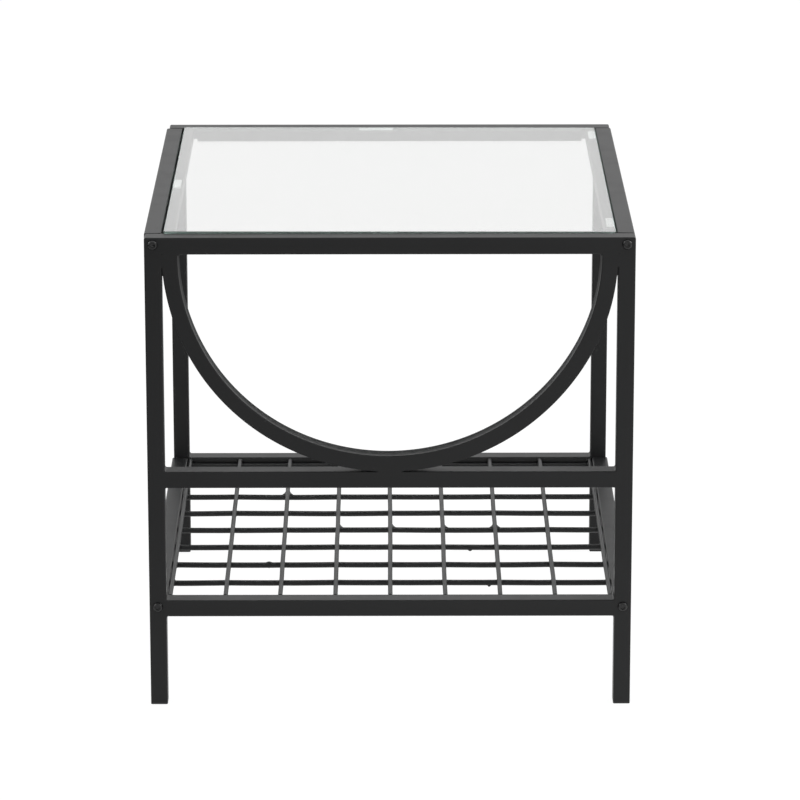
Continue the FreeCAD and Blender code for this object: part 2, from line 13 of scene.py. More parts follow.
import bmesh
import bpy
import numpy as np
from mathutils import Matrix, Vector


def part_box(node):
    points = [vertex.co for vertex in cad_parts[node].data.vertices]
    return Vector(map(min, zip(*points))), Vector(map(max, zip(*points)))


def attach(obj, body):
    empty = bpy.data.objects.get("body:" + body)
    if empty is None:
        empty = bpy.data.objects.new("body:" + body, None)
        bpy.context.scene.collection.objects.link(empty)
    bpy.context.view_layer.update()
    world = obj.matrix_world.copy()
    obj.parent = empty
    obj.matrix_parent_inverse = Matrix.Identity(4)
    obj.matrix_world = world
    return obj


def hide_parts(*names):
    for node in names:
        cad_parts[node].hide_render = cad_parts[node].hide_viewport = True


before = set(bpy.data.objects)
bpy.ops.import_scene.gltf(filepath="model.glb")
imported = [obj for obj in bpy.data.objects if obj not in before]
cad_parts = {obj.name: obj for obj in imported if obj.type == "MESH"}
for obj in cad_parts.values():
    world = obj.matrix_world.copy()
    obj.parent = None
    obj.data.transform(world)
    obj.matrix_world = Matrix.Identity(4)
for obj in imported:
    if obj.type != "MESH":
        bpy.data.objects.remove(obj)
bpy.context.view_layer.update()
BODY = "root"
LOG = logging.getLogger("side_table")
MM = 0.001
SHARP_DEGREES = 42
LATHE_PER_M = 100
SIDES = (-1.0, 1.0)


# Meshes


@dataclass
class Surface:
    """Points and faces of one closed shape, before it goes into a mesh.

    Attributes:
        points: N x 3 array of places in metres.
        faces: lists of point numbers, each list one face.
    """

    points: np.ndarray
    faces: list[list[int]]


def joined(surfaces: list[Surface]) -> Surface:
    """Put several shapes into one.

    Args:
        surfaces: the shapes, in any order.

    Returns:
        One shape that holds them all.
    """
    starts = np.cumsum([0] + [len(one.points) for one in surfaces])
    faces = [
        [int(start) + corner for corner in face]
        for start, one in zip(starts, surfaces)
        for face in one.faces
    ]
    return Surface(np.concatenate([one.points for one in surfaces]), faces)


def grid_faces(rows: int, columns: int, ring: bool = False) -> list[list[int]]:
    """Give the quads of a grid whose rows are closed loops.

    Point (i, j) has number i * columns + j. Each quad joins (i, j), (i, j + 1), (i + 1, j + 1)
    and (i + 1, j), with j + 1 counted round the loop.

    Args:
        rows: number of loops.
        columns: points on each loop.
        ring: also join the last loop to the first.

    Returns:
        The quads as lists of point numbers.
    """
    i, j = np.meshgrid(np.arange(rows if ring else rows - 1), np.arange(columns), indexing="ij")
    below, beside = (i + 1) % rows, (j + 1) % columns
    corners = [i * columns + j, i * columns + beside, below * columns + beside, below * columns + j]
    return np.stack(corners, -1).reshape(-1, 4).tolist()


def lofted(loops: np.ndarray) -> Surface:
    """Skin a stack of loops and close both ends with a flat face.

    Args:
        loops: rows x columns x 3 array, each row one closed loop.

    Returns:
        The closed shape.
    """
    rows, columns = loops.shape[:2]
    faces = grid_faces(rows, columns)
    faces.append(list(range(columns))[::-1])
    faces.append(list(range((rows - 1) * columns, rows * columns)))
    return Surface(loops.reshape(-1, 3), faces)


def looped(loops: np.ndarray) -> Surface:
    """Skin a stack of loops that closes on itself, as a collar does.

    Args:
        loops: rows x columns x 3 array, whose last row borders on the first.

    Returns:
        The closed shape.
    """
    rows, columns = loops.shape[:2]
    return Surface(loops.reshape(-1, 3), grid_faces(rows, columns, ring=True))


def make_piece(name: str, surface: Surface, material: bpy.types.Material,
               stands_for: list[str] | None = None) -> bpy.types.Object:
    """Make one piece of the table from a shape.

    Args:
        name: the piece's name.
        surface: its closed shape.
        material: its finish.
        stands_for: CAD nodes that it replaces.

    Returns:
        The piece, riding on the table's body.
    """
    mesh = bpy.data.meshes.new(name)
    mesh.from_pydata(surface.points.tolist(), [], surface.faces)
    work = bmesh.new()
    work.from_mesh(mesh)
    bmesh.ops.recalc_face_normals(work, faces=work.faces)
    work.to_mesh(mesh)
    work.free()
    mesh.materials.append(material)
    mesh.shade_smooth()
    mesh.set_sharp_from_angle(angle=math.radians(SHARP_DEGREES))
    piece = bpy.data.objects.new(name, mesh)
    bpy.context.scene.collection.objects.link(piece)
    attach(piece, BODY)
    if stands_for:
        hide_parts(*stands_for)
    LOG.info("%s: %d points, %d faces", name, len(mesh.vertices), len(mesh.polygons))
    return piece


def span(node: str) -> tuple[np.ndarray, np.ndarray]:
    """Give a CAD node's lowest and highest corners as arrays."""
    low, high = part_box(node)
    return np.array(low), np.array(high)


def middle_of(node: str) -> np.ndarray:
    """Give the middle of a CAD node's box."""
    return sum(span(node)) / 2


def eased(share: np.ndarray) -> np.ndarray:
    """Ease from 0 to 1: three times the square less twice the cube, held at both ends."""
    held = np.clip(share, 0.0, 1.0)
    return held * held * (3.0 - 2.0 * held)


# Shader wiring


class Kind(Enum):
    """Kinds of socket on a shader group."""

    VALUE = "NodeSocketFloat"
    COLOUR = "NodeSocketColor"
    VECTOR = "NodeSocketVector"


Socket = bpy.types.NodeSocket
Feed = Socket | float | tuple[float, ...]


class Wiring:
    """Adds nodes to one shader tree and joins them up."""

    def __init__(self, tree: bpy.types.NodeTree) -> None:
        """Keep the tree to work on."""
        self.tree = tree

    def feed(self, socket: Socket, value: Feed) -> None:
        """Link a socket to another one, or set its plain value."""
        if isinstance(value, bpy.types.NodeSocket):
            self.tree.links.new(value, socket)
        else:
            socket.default_value = value

    def node(self, kind: str, feeds: dict[str | int, Feed] | None = None,
             **settings: object) -> bpy.types.Node:
        """Add one node.

        Args:
            kind: its type name in Blender.
            feeds: what goes into its inputs, by name or number.
            settings: its own choices, such as operation.

        Returns:
            The node.
        """
        made = self.tree.nodes.new(kind)
        for name, value in settings.items():
            setattr(made, name, value)
        for name, value in (feeds or {}).items():
            self.feed(made.inputs[name], value)
        return made

    def sum(self, operation: str, *values: Feed, clamp: bool = False) -> Socket:
        """Work out one number from others with a Math node."""
        made = self.node("ShaderNodeMath", dict(enumerate(values)), operation=operation, use_clamp=clamp)
        return made.outputs[0]

    def plus(self, base: Feed, value: Socket, gain: float) -> Feed:
        """Add a value times a gain, or nothing if the gain is nought."""
        return self.sum("MULTIPLY_ADD", value, gain, base) if gain else base

    def noise(self, place: Socket, scale: Feed, detail: float = 2.0, roughness: float = 0.5) -> Socket:
        """Give a noise value of about 0.5 on average, with features 1 / scale metres wide."""
        feeds = {"Vector": place, "Scale": scale, "Detail": detail, "Roughness": roughness}
        return self.node("ShaderNodeTexNoise", feeds).outputs[0]

    def stepped(self, value: Feed, start: Feed, stop: Feed, low: Feed = 0.0, high: Feed = 1.0) -> Socket:
        """Map a value smoothly from one range to another, held at both ends."""
        feeds = {"Value": value, "From Min": start, "From Max": stop, "To Min": low, "To Max": high}
        return self.node("ShaderNodeMapRange", feeds, interpolation_type="SMOOTHSTEP").outputs[0]

    def level(self, share: Feed, first: Feed, second: Feed) -> Socket:
        """Mix two numbers."""
        return self.node("ShaderNodeMix", {0: share, 2: first, 3: second}).outputs[0]

    def blend(self, share: Feed, first: Feed, second: Feed, how: str = "MIX") -> Socket:
        """Mix two colours."""
        made = self.node("ShaderNodeMix", {0: share, 6: first, 7: second}, data_type="RGBA", blend_type=how)
        return made.outputs[2]

    @cached_property
    def places(self) -> Socket:
        """Object coordinates, which are metres from the table's origin."""
        return self.node("ShaderNodeTexCoord").outputs["Object"]

    def split(self, vector: Socket) -> bpy.types.bpy_prop_collection:
        """Give a vector's X, Y and Z."""
        return self.node("ShaderNodeSeparateXYZ", {0: vector}).outputs

    def rays(self) -> bpy.types.bpy_prop_collection:
        """Give what tells the kinds of rays apart."""
        return self.node("ShaderNodeLightPath").outputs

    def bump(self, shader: bpy.types.Node, strength: float, depth: float, height: Feed) -> None:
        """Give a shader the bumps of a height, depth metres deep."""
        feeds = {"Strength": strength, "Distance": depth, "Height": height}
        self.feed(shader.inputs["Normal"], self.node("ShaderNodeBump", feeds).outputs["Normal"])

    def group(self, tree: bpy.types.NodeTree, feeds: dict[str, Feed]) -> bpy.types.Node:
        """Place a shared group with its own values."""
        made = self.tree.nodes.new("ShaderNodeGroup")
        made.node_tree = tree
        for name, value in feeds.items():
            self.feed(made.inputs[name], value)
        return made


def new_group(name: str, inputs: dict[str, Kind],
              outputs: dict[str, Kind]) -> tuple[Wiring, bpy.types.Node, bpy.types.Node]:
    """Start a shared shader group.

    Args:
        name: the group's name.
        inputs: its input sockets.
        outputs: its output sockets.

    Returns:
        Its wiring, its input node and its output node.
    """
    tree = bpy.data.node_groups.new(name, "ShaderNodeTree")
    for direction, sockets in (("INPUT", inputs), ("OUTPUT", outputs)):
        for label, kind in sockets.items():
            tree.interface.new_socket(label, in_out=direction, socket_type=kind.value)
    wiring = Wiring(tree)
    return wiring, wiring.node("NodeGroupInput"), wiring.node("NodeGroupOutput")


class SharedEffects:
    """The shader groups that several finishes use, each built once."""

    def __init__(self) -> None:
        """Build every group."""
        self.grain = self.build_grain()
        self.drift = self.build_drift()
        self.turning = self.build_turning()

    def skin(self, wiring: Wiring, grain_per_m: float, swell_per_m: float) -> bpy.types.Node:
        """Place the surface grain in a material."""
        feeds = {"Place": wiring.places, "Grain Scale": grain_per_m, "Swell Scale": swell_per_m}
        return wiring.group(self.grain, feeds)

    def toned(self, wiring: Wiring, colour: tuple[float, float, float], amount: float,
              scale: float) -> bpy.types.Node:
        """Place the tone drift of a colour in a material."""
        feeds = {"Place": wiring.places, "Color": (*colour, 1.0), "Amount": amount, "Scale": scale}
        return wiring.group(self.drift, feeds)

    def turned(self, wiring: Wiring, distance: Socket, rings: float) -> Socket:
        """Place the turning rings in a material, and give their height."""
        feeds = {"Place": wiring.places, "Distance": distance, "Rings": rings}
        return wiring.group(self.turning, feeds).outputs["Height"]

    @staticmethod
    def build_grain() -> bpy.types.NodeTree:
        """Build the skin of a sprayed, baked or moulded surface.

        Height is six tenths fine grain and four tenths slow swell. Speck is 1 on the grain's
        highest tips.

        Returns:
            The group.
        """
        wiring, given, out = new_group(
            "surface_grain",
            {"Place": Kind.VECTOR, "Grain Scale": Kind.VALUE, "Swell Scale": Kind.VALUE},
            {"Height": Kind.VALUE, "Speck": Kind.VALUE},
        )
        fine = wiring.noise(given.outputs["Place"], given.outputs["Grain Scale"], 1.0)
        swell = wiring.noise(given.outputs["Place"], given.outputs["Swell Scale"], 1.0)
        height = wiring.sum("ADD", wiring.sum("MULTIPLY", fine, 0.6), wiring.sum("MULTIPLY", swell, 0.4))
        wiring.feed(out.inputs["Height"], height)
        wiring.feed(out.inputs["Speck"], wiring.stepped(fine, 0.58, 0.72))
        return wiring.tree

    @staticmethod
    def build_drift() -> bpy.types.NodeTree:
        """Build a slow change of tone and gloss over a whole part.

        The colour is multiplied by 1 plus or minus Amount. Rub is a mask of faint wipes, whose
        scale is 3.7 times the tone's.

        Returns:
            The group.
        """
        wiring, given, out = new_group(
            "tone_drift",
            {"Place": Kind.VECTOR, "Color": Kind.COLOUR, "Amount": Kind.VALUE, "Scale": Kind.VALUE},
            {"Color": Kind.COLOUR, "Rub": Kind.VALUE},
        )
        slow = wiring.noise(given.outputs["Place"], given.outputs["Scale"], 3.0)
        swing = wiring.sum("MULTIPLY", wiring.sum("SUBTRACT", slow, 0.5), 4.0)
        gain = wiring.sum("MULTIPLY_ADD", swing, given.outputs["Amount"], 1.0)
        grey = wiring.node("ShaderNodeCombineColor", {0: gain, 1: gain, 2: gain}).outputs[0]
        wiring.feed(out.inputs["Color"], wiring.blend(1.0, given.outputs["Color"], grey, "MULTIPLY"))
        finer = wiring.sum("MULTIPLY", given.outputs["Scale"], 3.7)
        smear = wiring.noise(given.outputs["Place"], finer, 4.0, 0.62)
        wiring.feed(out.inputs["Rub"], wiring.stepped(smear, 0.45, 0.7))
        return wiring.tree

    @staticmethod
    def build_turning() -> bpy.types.NodeTree:
        """Build the fine rings that a lathe leaves, from a distance to the axis.

        Height is a sine of the distance times Rings, shaken by a noise of the place.

        Returns:
            The group.
        """
        wiring, given, out = new_group(
            "turning_rings",
            {"Place": Kind.VECTOR, "Distance": Kind.VALUE, "Rings": Kind.VALUE},
            {"Height": Kind.VALUE},
        )
        shake = wiring.sum("MULTIPLY", wiring.noise(given.outputs["Place"], 900.0, 2.0), 5.0)
        phase = wiring.sum("MULTIPLY_ADD", given.outputs["Distance"], given.outputs["Rings"], shake)
        wave = wiring.sum("SINE", phase)
        wiring.feed(out.inputs["Height"], wiring.sum("MULTIPLY_ADD", wave, 0.5, 0.5))
        return wiring.tree


def new_material(name: str) -> tuple[bpy.types.Material, Wiring, bpy.types.Node, bpy.types.Node]:
    """Start a material.

    Args:
        name: its name.

    Returns:
        The material, its wiring, its Principled shader and its output node.
    """
    material = bpy.data.materials.new(name)
    material.use_nodes = True
    nodes = material.node_tree.nodes
    return material, Wiring(material.node_tree), nodes["Principled BSDF"], nodes["Material Output"]


# Finishes


@dataclass(frozen=True)
class Finish:
    """Colour, gloss and skin of a solid material.

    Attributes:
        name: the material's name.
        colour: linear colour.
        roughness: its mean roughness.
        inputs: the shader's other inputs and their values.
        bump: strength of the bumps.
        depth: their depth in metres.
        tone_swing: how far the tone drifts.
        tone_per_m: scale of that drift.
        rub: how much rougher wiped places are.
        grain_per_m: scale of the fine grain, nought for no grain.
        swell_per_m: scale of its slow swell.
        speck_roughness: how much rougher the grain's tips are.
        speck_gain: how much lighter the tips are.
        speck_share: how strongly that shows.
        rings_per_m: turning or cutting rings per metre in radians, nought for none.
        ring_share: their height against the grain.
        lathe: they go by the lathe map, not by height.
    """

    name: str
    colour: tuple[float, float, float]
    roughness: float
    inputs: dict[str, float]
    bump: float
    depth: float
    tone_swing: float
    tone_per_m: float
    rub: float = 0.0
    grain_per_m: float = 0.0
    swell_per_m: float = 0.0
    speck_roughness: float = 0.0
    speck_gain: float = 1.0
    speck_share: float = 0.0
    rings_per_m: float = 0.0
    ring_share: float = 1.0
    lathe: bool = False

    def material(self, effects: SharedEffects) -> bpy.types.Material:
        """Build the material.

        Args:
            effects: the shared shader groups.

        Returns:
            The material.
        """
        material, wiring, shader, _ = new_material(self.name)
        drift = effects.toned(wiring, self.colour, self.tone_swing, self.tone_per_m)
        tone, height = drift.outputs["Color"], 0.0
        rough = wiring.plus(self.roughness, drift.outputs["Rub"], self.rub)
        if self.grain_per_m:
            grain = effects.skin(wiring, self.grain_per_m, self.swell_per_m)
            height, speck = grain.outputs["Height"], grain.outputs["Speck"]
            rough = wiring.plus(rough, speck, self.speck_roughness)
            if self.speck_share:
                lighter = tuple(self.speck_gain * part for part in self.colour)
                share = wiring.sum("MULTIPLY", speck, self.speck_share)
                tone = wiring.blend(share, tone, (*lighter, 1.0))
        if self.rings_per_m:
            lathe = wiring.node("ShaderNodeUVMap", uv_map="lathe").outputs[0] if self.lathe else None
            distance = wiring.split(lathe)["Y"] if lathe else wiring.split(wiring.places)["Z"]
            height = wiring.plus(height, effects.turned(wiring, distance, self.rings_per_m), self.ring_share)
        wiring.feed(shader.inputs["Base Color"], tone)
        wiring.feed(shader.inputs["Roughness"], rough)
        wiring.bump(shader, self.bump, self.depth, height)
        for name, value in self.inputs.items():
            shader.inputs[name].default_value = value
        return material


TUBE_COAT = Finish(
    "tube_powder_coat", (0.0135, 0.0138, 0.0142), 0.40, {"Specular IOR Level": 0.26}, bump=0.55,
    depth=0.00006, tone_swing=0.08, tone_per_m=9.0, rub=0.025, grain_per_m=1500.0, swell_per_m=330.0,
    speck_roughness=-0.0125, speck_gain=1.5, speck_share=0.35,
)
ROD_COAT = replace(TUBE_COAT, name="rod_powder_coat", roughness=0.38, depth=0.00004)
BOLT_COAT = Finish(
    "bolt_black", (0.006, 0.006, 0.0065), 0.13, {"Specular IOR Level": 0.46}, bump=0.3, depth=0.00002,
    tone_swing=0.12, tone_per_m=60.0, rub=0.05, grain_per_m=3200.0, swell_per_m=900.0,
    rings_per_m=26000.0 / LATHE_PER_M, ring_share=0.35, lathe=True,
)
FOOT_PLASTIC = Finish(
    "foot_plastic", (0.012, 0.012, 0.012), 0.45, {"IOR": 1.46}, bump=0.4, depth=0.00005, tone_swing=0.08,
    tone_per_m=25.0, grain_per_m=1800.0, swell_per_m=420.0, speck_roughness=0.12,
)
PAD_PLASTIC = replace(
    FOOT_PLASTIC, name="clear_pad_plastic", colour=(0.90, 0.93, 0.92), roughness=0.30,
    inputs={"IOR": 1.46, "Transmission Weight": 0.25},
)
STEEL = Finish(
    "machined_steel", (0.46, 0.45, 0.44), 0.30, {"Metallic": 1.0}, bump=0.4, depth=0.00003,
    tone_swing=0.15, tone_per_m=70.0, rub=0.15, rings_per_m=9000.0,
)


@dataclass(frozen=True)
class FloatGlass:
    """Clear float glass with ground and polished edges, greenish along its depth.

    Attributes:
        half_width: from the middle to the side edges.
        half_depth: from the glass's own middle to the front and back edges.
        middle: how far its own middle lies behind the table's.
        edge_band: width of the ground edge in from the outline.
        edge_fade: width over which the ground edge ends.
        tint_and_painted_shade: linear colour through the faces, own grey plus painted shade of the floor
            below.
        edge_tint: linear colour of what shows through the ground edge.
        edge_roughness: of the ground edge.
        edge_grain_per_m: scale of its grain.
        edge_swell_per_m: scale of its slow swell.
        edge_depth: depth of both in metres.
        edge_bump: strength of both.
        refraction: its refractive index.
        coat: Coat Weight.
        shadow_tint: linear colour that the glass gives its shadow.
        depth_tint: linear colour along the glass's depth.
        depth_density: strength of that.
        tone_swing: how far that tint and painted shade drifts.
        tone_per_m: scale of that drift.
    """

    half_width: float
    half_depth: float
    middle: float
    edge_band: float = 0.0008
    edge_fade: float = 0.0002
    # Partly the glass's own grey, partly painted shade of the floor under the table seen through the glass.
    tint_and_painted_shade: tuple[float, float, float] = (0.832, 0.822, 0.820)
    edge_tint: tuple[float, float, float] = (0.60, 0.78, 0.71)
    edge_roughness: float = 0.65
    edge_grain_per_m: float = 2600.0
    edge_swell_per_m: float = 500.0
    edge_depth: float = 0.00002
    edge_bump: float = 0.2
    refraction: float = 1.52
    coat: float = 0.72
    shadow_tint: tuple[float, float, float] = (0.93, 0.96, 0.95)
    depth_tint: tuple[float, float, float] = (0.45, 0.80, 0.68)
    depth_density: float = 5.0
    tone_swing: float = 0.004
    tone_per_m: float = 4.0

    def material(self, effects: SharedEffects) -> bpy.types.Material:
        """Build the material.

        The edge mask is 1 where the larger of the two distances past the flat faces' outline
        is above nought. It roughens the ground edge and greens it.

        Args:
            effects: the shared shader groups.

        Returns:
            The material.
        """
        material, wiring, shader, output = new_material("float_glass")
        parts = wiring.split(wiring.places)
        along = wiring.sum("SUBTRACT", parts["Y"], self.middle)
        past_side, past_end = (
            wiring.sum("SUBTRACT", wiring.sum("ABSOLUTE", value), half - self.edge_band)
            for value, half in ((parts["X"], self.half_width), (along, self.half_depth))
        )
        edge = wiring.stepped(wiring.sum("MAXIMUM", past_side, past_end), 0.0, self.edge_fade)
        # The faces' colour carries painted shade of the floor under the table as well as the glass's own
        # grey.
        drift = effects.toned(wiring, self.tint_and_painted_shade, self.tone_swing, self.tone_per_m)
        green = wiring.blend(edge, drift.outputs["Color"], (*self.edge_tint, 1.0))
        wiring.feed(shader.inputs["Base Color"], green)
        wiring.feed(shader.inputs["Roughness"], wiring.sum("MULTIPLY", edge, self.edge_roughness))
        grain = effects.skin(wiring, self.edge_grain_per_m, self.edge_swell_per_m)
        ground = wiring.sum("MULTIPLY", grain.outputs["Height"], edge)
        wiring.bump(shader, self.edge_bump, self.edge_depth, ground)
        shader.inputs["IOR"].default_value = self.refraction
        shader.inputs["Transmission Weight"].default_value = 1.0
        shader.inputs["Coat Weight"].default_value = self.coat
        clear = wiring.node("ShaderNodeBsdfTransparent", {"Color": (*self.shadow_tint, 1.0)})
        feeds = {0: wiring.rays()["Is Shadow Ray"], 1: shader.outputs[0], 2: clear.outputs[0]}
        wiring.feed(output.inputs["Surface"], wiring.node("ShaderNodeMixShader", feeds).outputs[0])
        feeds = {"Color": (*self.depth_tint, 1.0), "Density": self.depth_density}
        wiring.feed(output.inputs["Volume"], wiring.node("ShaderNodeVolumeAbsorption", feeds).outputs[0])
        return material


# Frame


@dataclass
class DressedNodes:
    """CAD nodes whose shape is right, which get a better finish.

    Attributes:
        label: what they are.
        nodes: their names.
        material: their finish.
    """

    label: str
    nodes: list[str]
    material: bpy.types.Material

    def dress(self) -> None:
        """Put the finish into every material slot of every node."""
        for name in self.nodes:
            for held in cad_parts[name].material_slots:
                held.material = self.material
        LOG.info("%s: dressed %d nodes", self.label, len(self.nodes))


def rounded_box(half_depth: float, half_side: float, corner: float, across: int = 14,
                turn: int = 8) -> tuple[np.ndarray, np.ndarray]:
    """Give a tube's outline, a box whose corners are quarter circles, its depth coming first.

    Args:
        half_depth: half of its depth.
        half_side: half of its width.
        corner: radius of its corners.
        across: points on each flat.
        turn: points on each corner.

    Returns:
        N x 2 places and N x 2 outward directions.
    """
    flats = np.array([half_depth, half_side]) - corner
    angles = np.linspace(0.0, np.pi / 2, turn, endpoint=False)
    places, normals = [], []
    for quarter in range(4):
        spin = quarter * np.pi / 2
        out = np.stack([np.cos(angles + spin), np.sin(angles + spin)], -1)
        middle = flats * np.array([np.cos(spin) - np.sin(spin), np.sin(spin) + np.cos(spin)])
        side = np.array([np.cos(spin + np.pi / 2), np.sin(spin + np.pi / 2)])
        ahead = np.array([-side[1], side[0]])
        run = np.linspace(0.0, 2 * np.abs(ahead @ flats), across, endpoint=False)[:, None]
        places += [middle + corner * out, middle + corner * side + run * ahead]
        normals += [out, np.repeat(side[None], across, 0)]
    return np.concatenate(places), np.concatenate(normals)


@dataclass
class RolledArc:
    """The rolled arc, slightly out of round, whose inner wall sank in as it was rolled.

    Attributes:
        material: the frame's finish.
        corner: the tube's outer corner radius.
        dent: how far the middle of the inner wall sank in.
        lean: how far the front edge of the inner wall lies outside its back edge.
        under: how far its ends stay under the rail.
        strays: rows of an angle in degrees, 180 at the left end and 360 at the right one, and
            how far in millimetres the inner and the outer side lie outside true circles there.
        rings: sections along the arc.
    """

    material: bpy.types.Material
    corner: float = 1.0 * MM
    dent: float = 1.5 * MM
    lean: float = 1.1 * MM
    under: float = 0.01 * MM
    strays: tuple[tuple[float, float, float], ...] = (
        (180, 0.0, 0.0), (188, 0.7, 0.1), (196, 1.3, 0.4), (206, 1.6, 0.6), (216, 1.85, 0.8),
        (226, 2.05, 0.9), (236, 1.8, 0.85), (246, 1.2, 0.6), (256, 0.6, 0.2), (266, 0.1, 0.0),
        (276, -0.15, -0.1), (286, -0.4, -0.2), (296, -0.4, -0.3), (306, -0.2, -0.3), (316, 0.0, -0.3),
        (326, 0.2, -0.1), (336, 0.5, 0.3), (344, 0.7, 0.6), (352, 0.3, 0.2), (360, 0.0, 0.0),
    )
    rings: int = 150

    def build(self) -> None:
        """Sweep the tube's outline along the arc and put it in the CAD node's place.

        Each point of the outline keeps its own circle, and starts and stops where that circle
        meets the rail's underside. Chebyshev series of degree 9 through the strays shift it.
        """
        low, high = span("arc_front")
        half, outer = float(high[1] - low[1]) / 2, float(high[0] - low[0]) / 2
        places, normals = rounded_box(half, half, self.corner)
        flat = half - self.corner
        sunk = self.dent * np.clip(1 - (places[:, 0] / flat) ** 2, 0.0, 1.0) * (normals[:, 1] < -0.99)
        radius = outer - half + places[:, 1] + sunk
        centre = float(low[2]) + outer
        start = np.arcsin((centre - float(high[2])) / radius)
        angle = np.pi + start + np.linspace(0.0, 1.0, self.rings)[:, None] * (np.pi - 2 * start)
        table = np.array(self.strays)
        inner, outside = (
            np.polynomial.Chebyshev.fit(np.radians(table[:, 0]), table[:, column] * MM, 9)(angle)
            for column in (1, 2)
        )
        share = (places[:, 1] + half) / (2 * half)
        leaning = self.lean * (0.5 - places[:, 0] / (2 * half)) * (1 - share)
        reach = radius + leaning + inner + share * (outside - inner)
        depth = np.broadcast_to((low[1] + high[1]) / 2 + places[:, 0], reach.shape)
        up = np.minimum(centre + reach * np.sin(angle), high[2] - self.under)
        shape = lofted(np.stack([reach * np.cos(angle), depth, up], -1))
        make_piece("rolled_arc", shape, self.material, ["arc_front"])


@dataclass
class TopSideRails:
    """The top side rails, bolted on slightly to the left, with cut ends that stand slightly open.

    Attributes:
        material: the frame's finish.
        corner: the tube's outer corner radius.
        rim: how far the cut ends' edges are broken.
        open_outside: how far a cut end stands off on the table's outer side.
        open_inside: how far it stands off on the inner side.
        shifts: how far the left and the right rail lie to the right, at their front and back ends.
    """

    material: bpy.types.Material
    corner: float = 1.5 * MM
    rim: float = 0.3 * MM
    open_outside: float = 0.7 * MM
    open_inside: float = 1.8 * MM
    shifts: tuple[tuple[float, float], ...] = ((-0.9 * MM, -0.8 * MM), (-0.1 * MM, -0.8 * MM))

    def rail(self, node: str, front: float, back: float) -> Surface:
        """Loft one rail between its two cut ends.

        The cut's distance from the frame grows evenly from the outer to the inner side.

        Args:
            node: the CAD node that it stands for.
            front: how far its front end lies to the right of the node.
            back: how far its back end does.

        Returns:
            The closed shape.
        """
        low, high = span(node)
        middle, half = (low + high) / 2, (high - low) / 2
        places, normals = rounded_box(float(half[0]), float(half[2]), self.corner)
        inward = 0.5 - 0.5 * np.sign(middle[0]) * places[:, 0] / half[0]
        cut = self.open_outside + (self.open_inside - self.open_outside) * inward
        ends = [low[1] + cut, low[1] + cut + self.rim, high[1] - cut - self.rim, high[1] - cut]
        loops = []
        for along, shrink in zip(ends, (self.rim, 0.0, 0.0, self.rim)):
            across, up = (places - shrink * normals).T
            across = across + front + (back - front) * (along - low[1]) / (high[1] - low[1])
            loops.append(np.stack([middle[0] + across, along, middle[2] + up], -1))
        return lofted(np.array(loops))

    def build(self) -> None:
        """Make both rails."""
        for side, shift in zip(("left", "right"), self.shifts):
            node = f"top_rail_{side}"
            make_piece(f"side_rail_{side}", self.rail(node, *shift), self.material, [node])


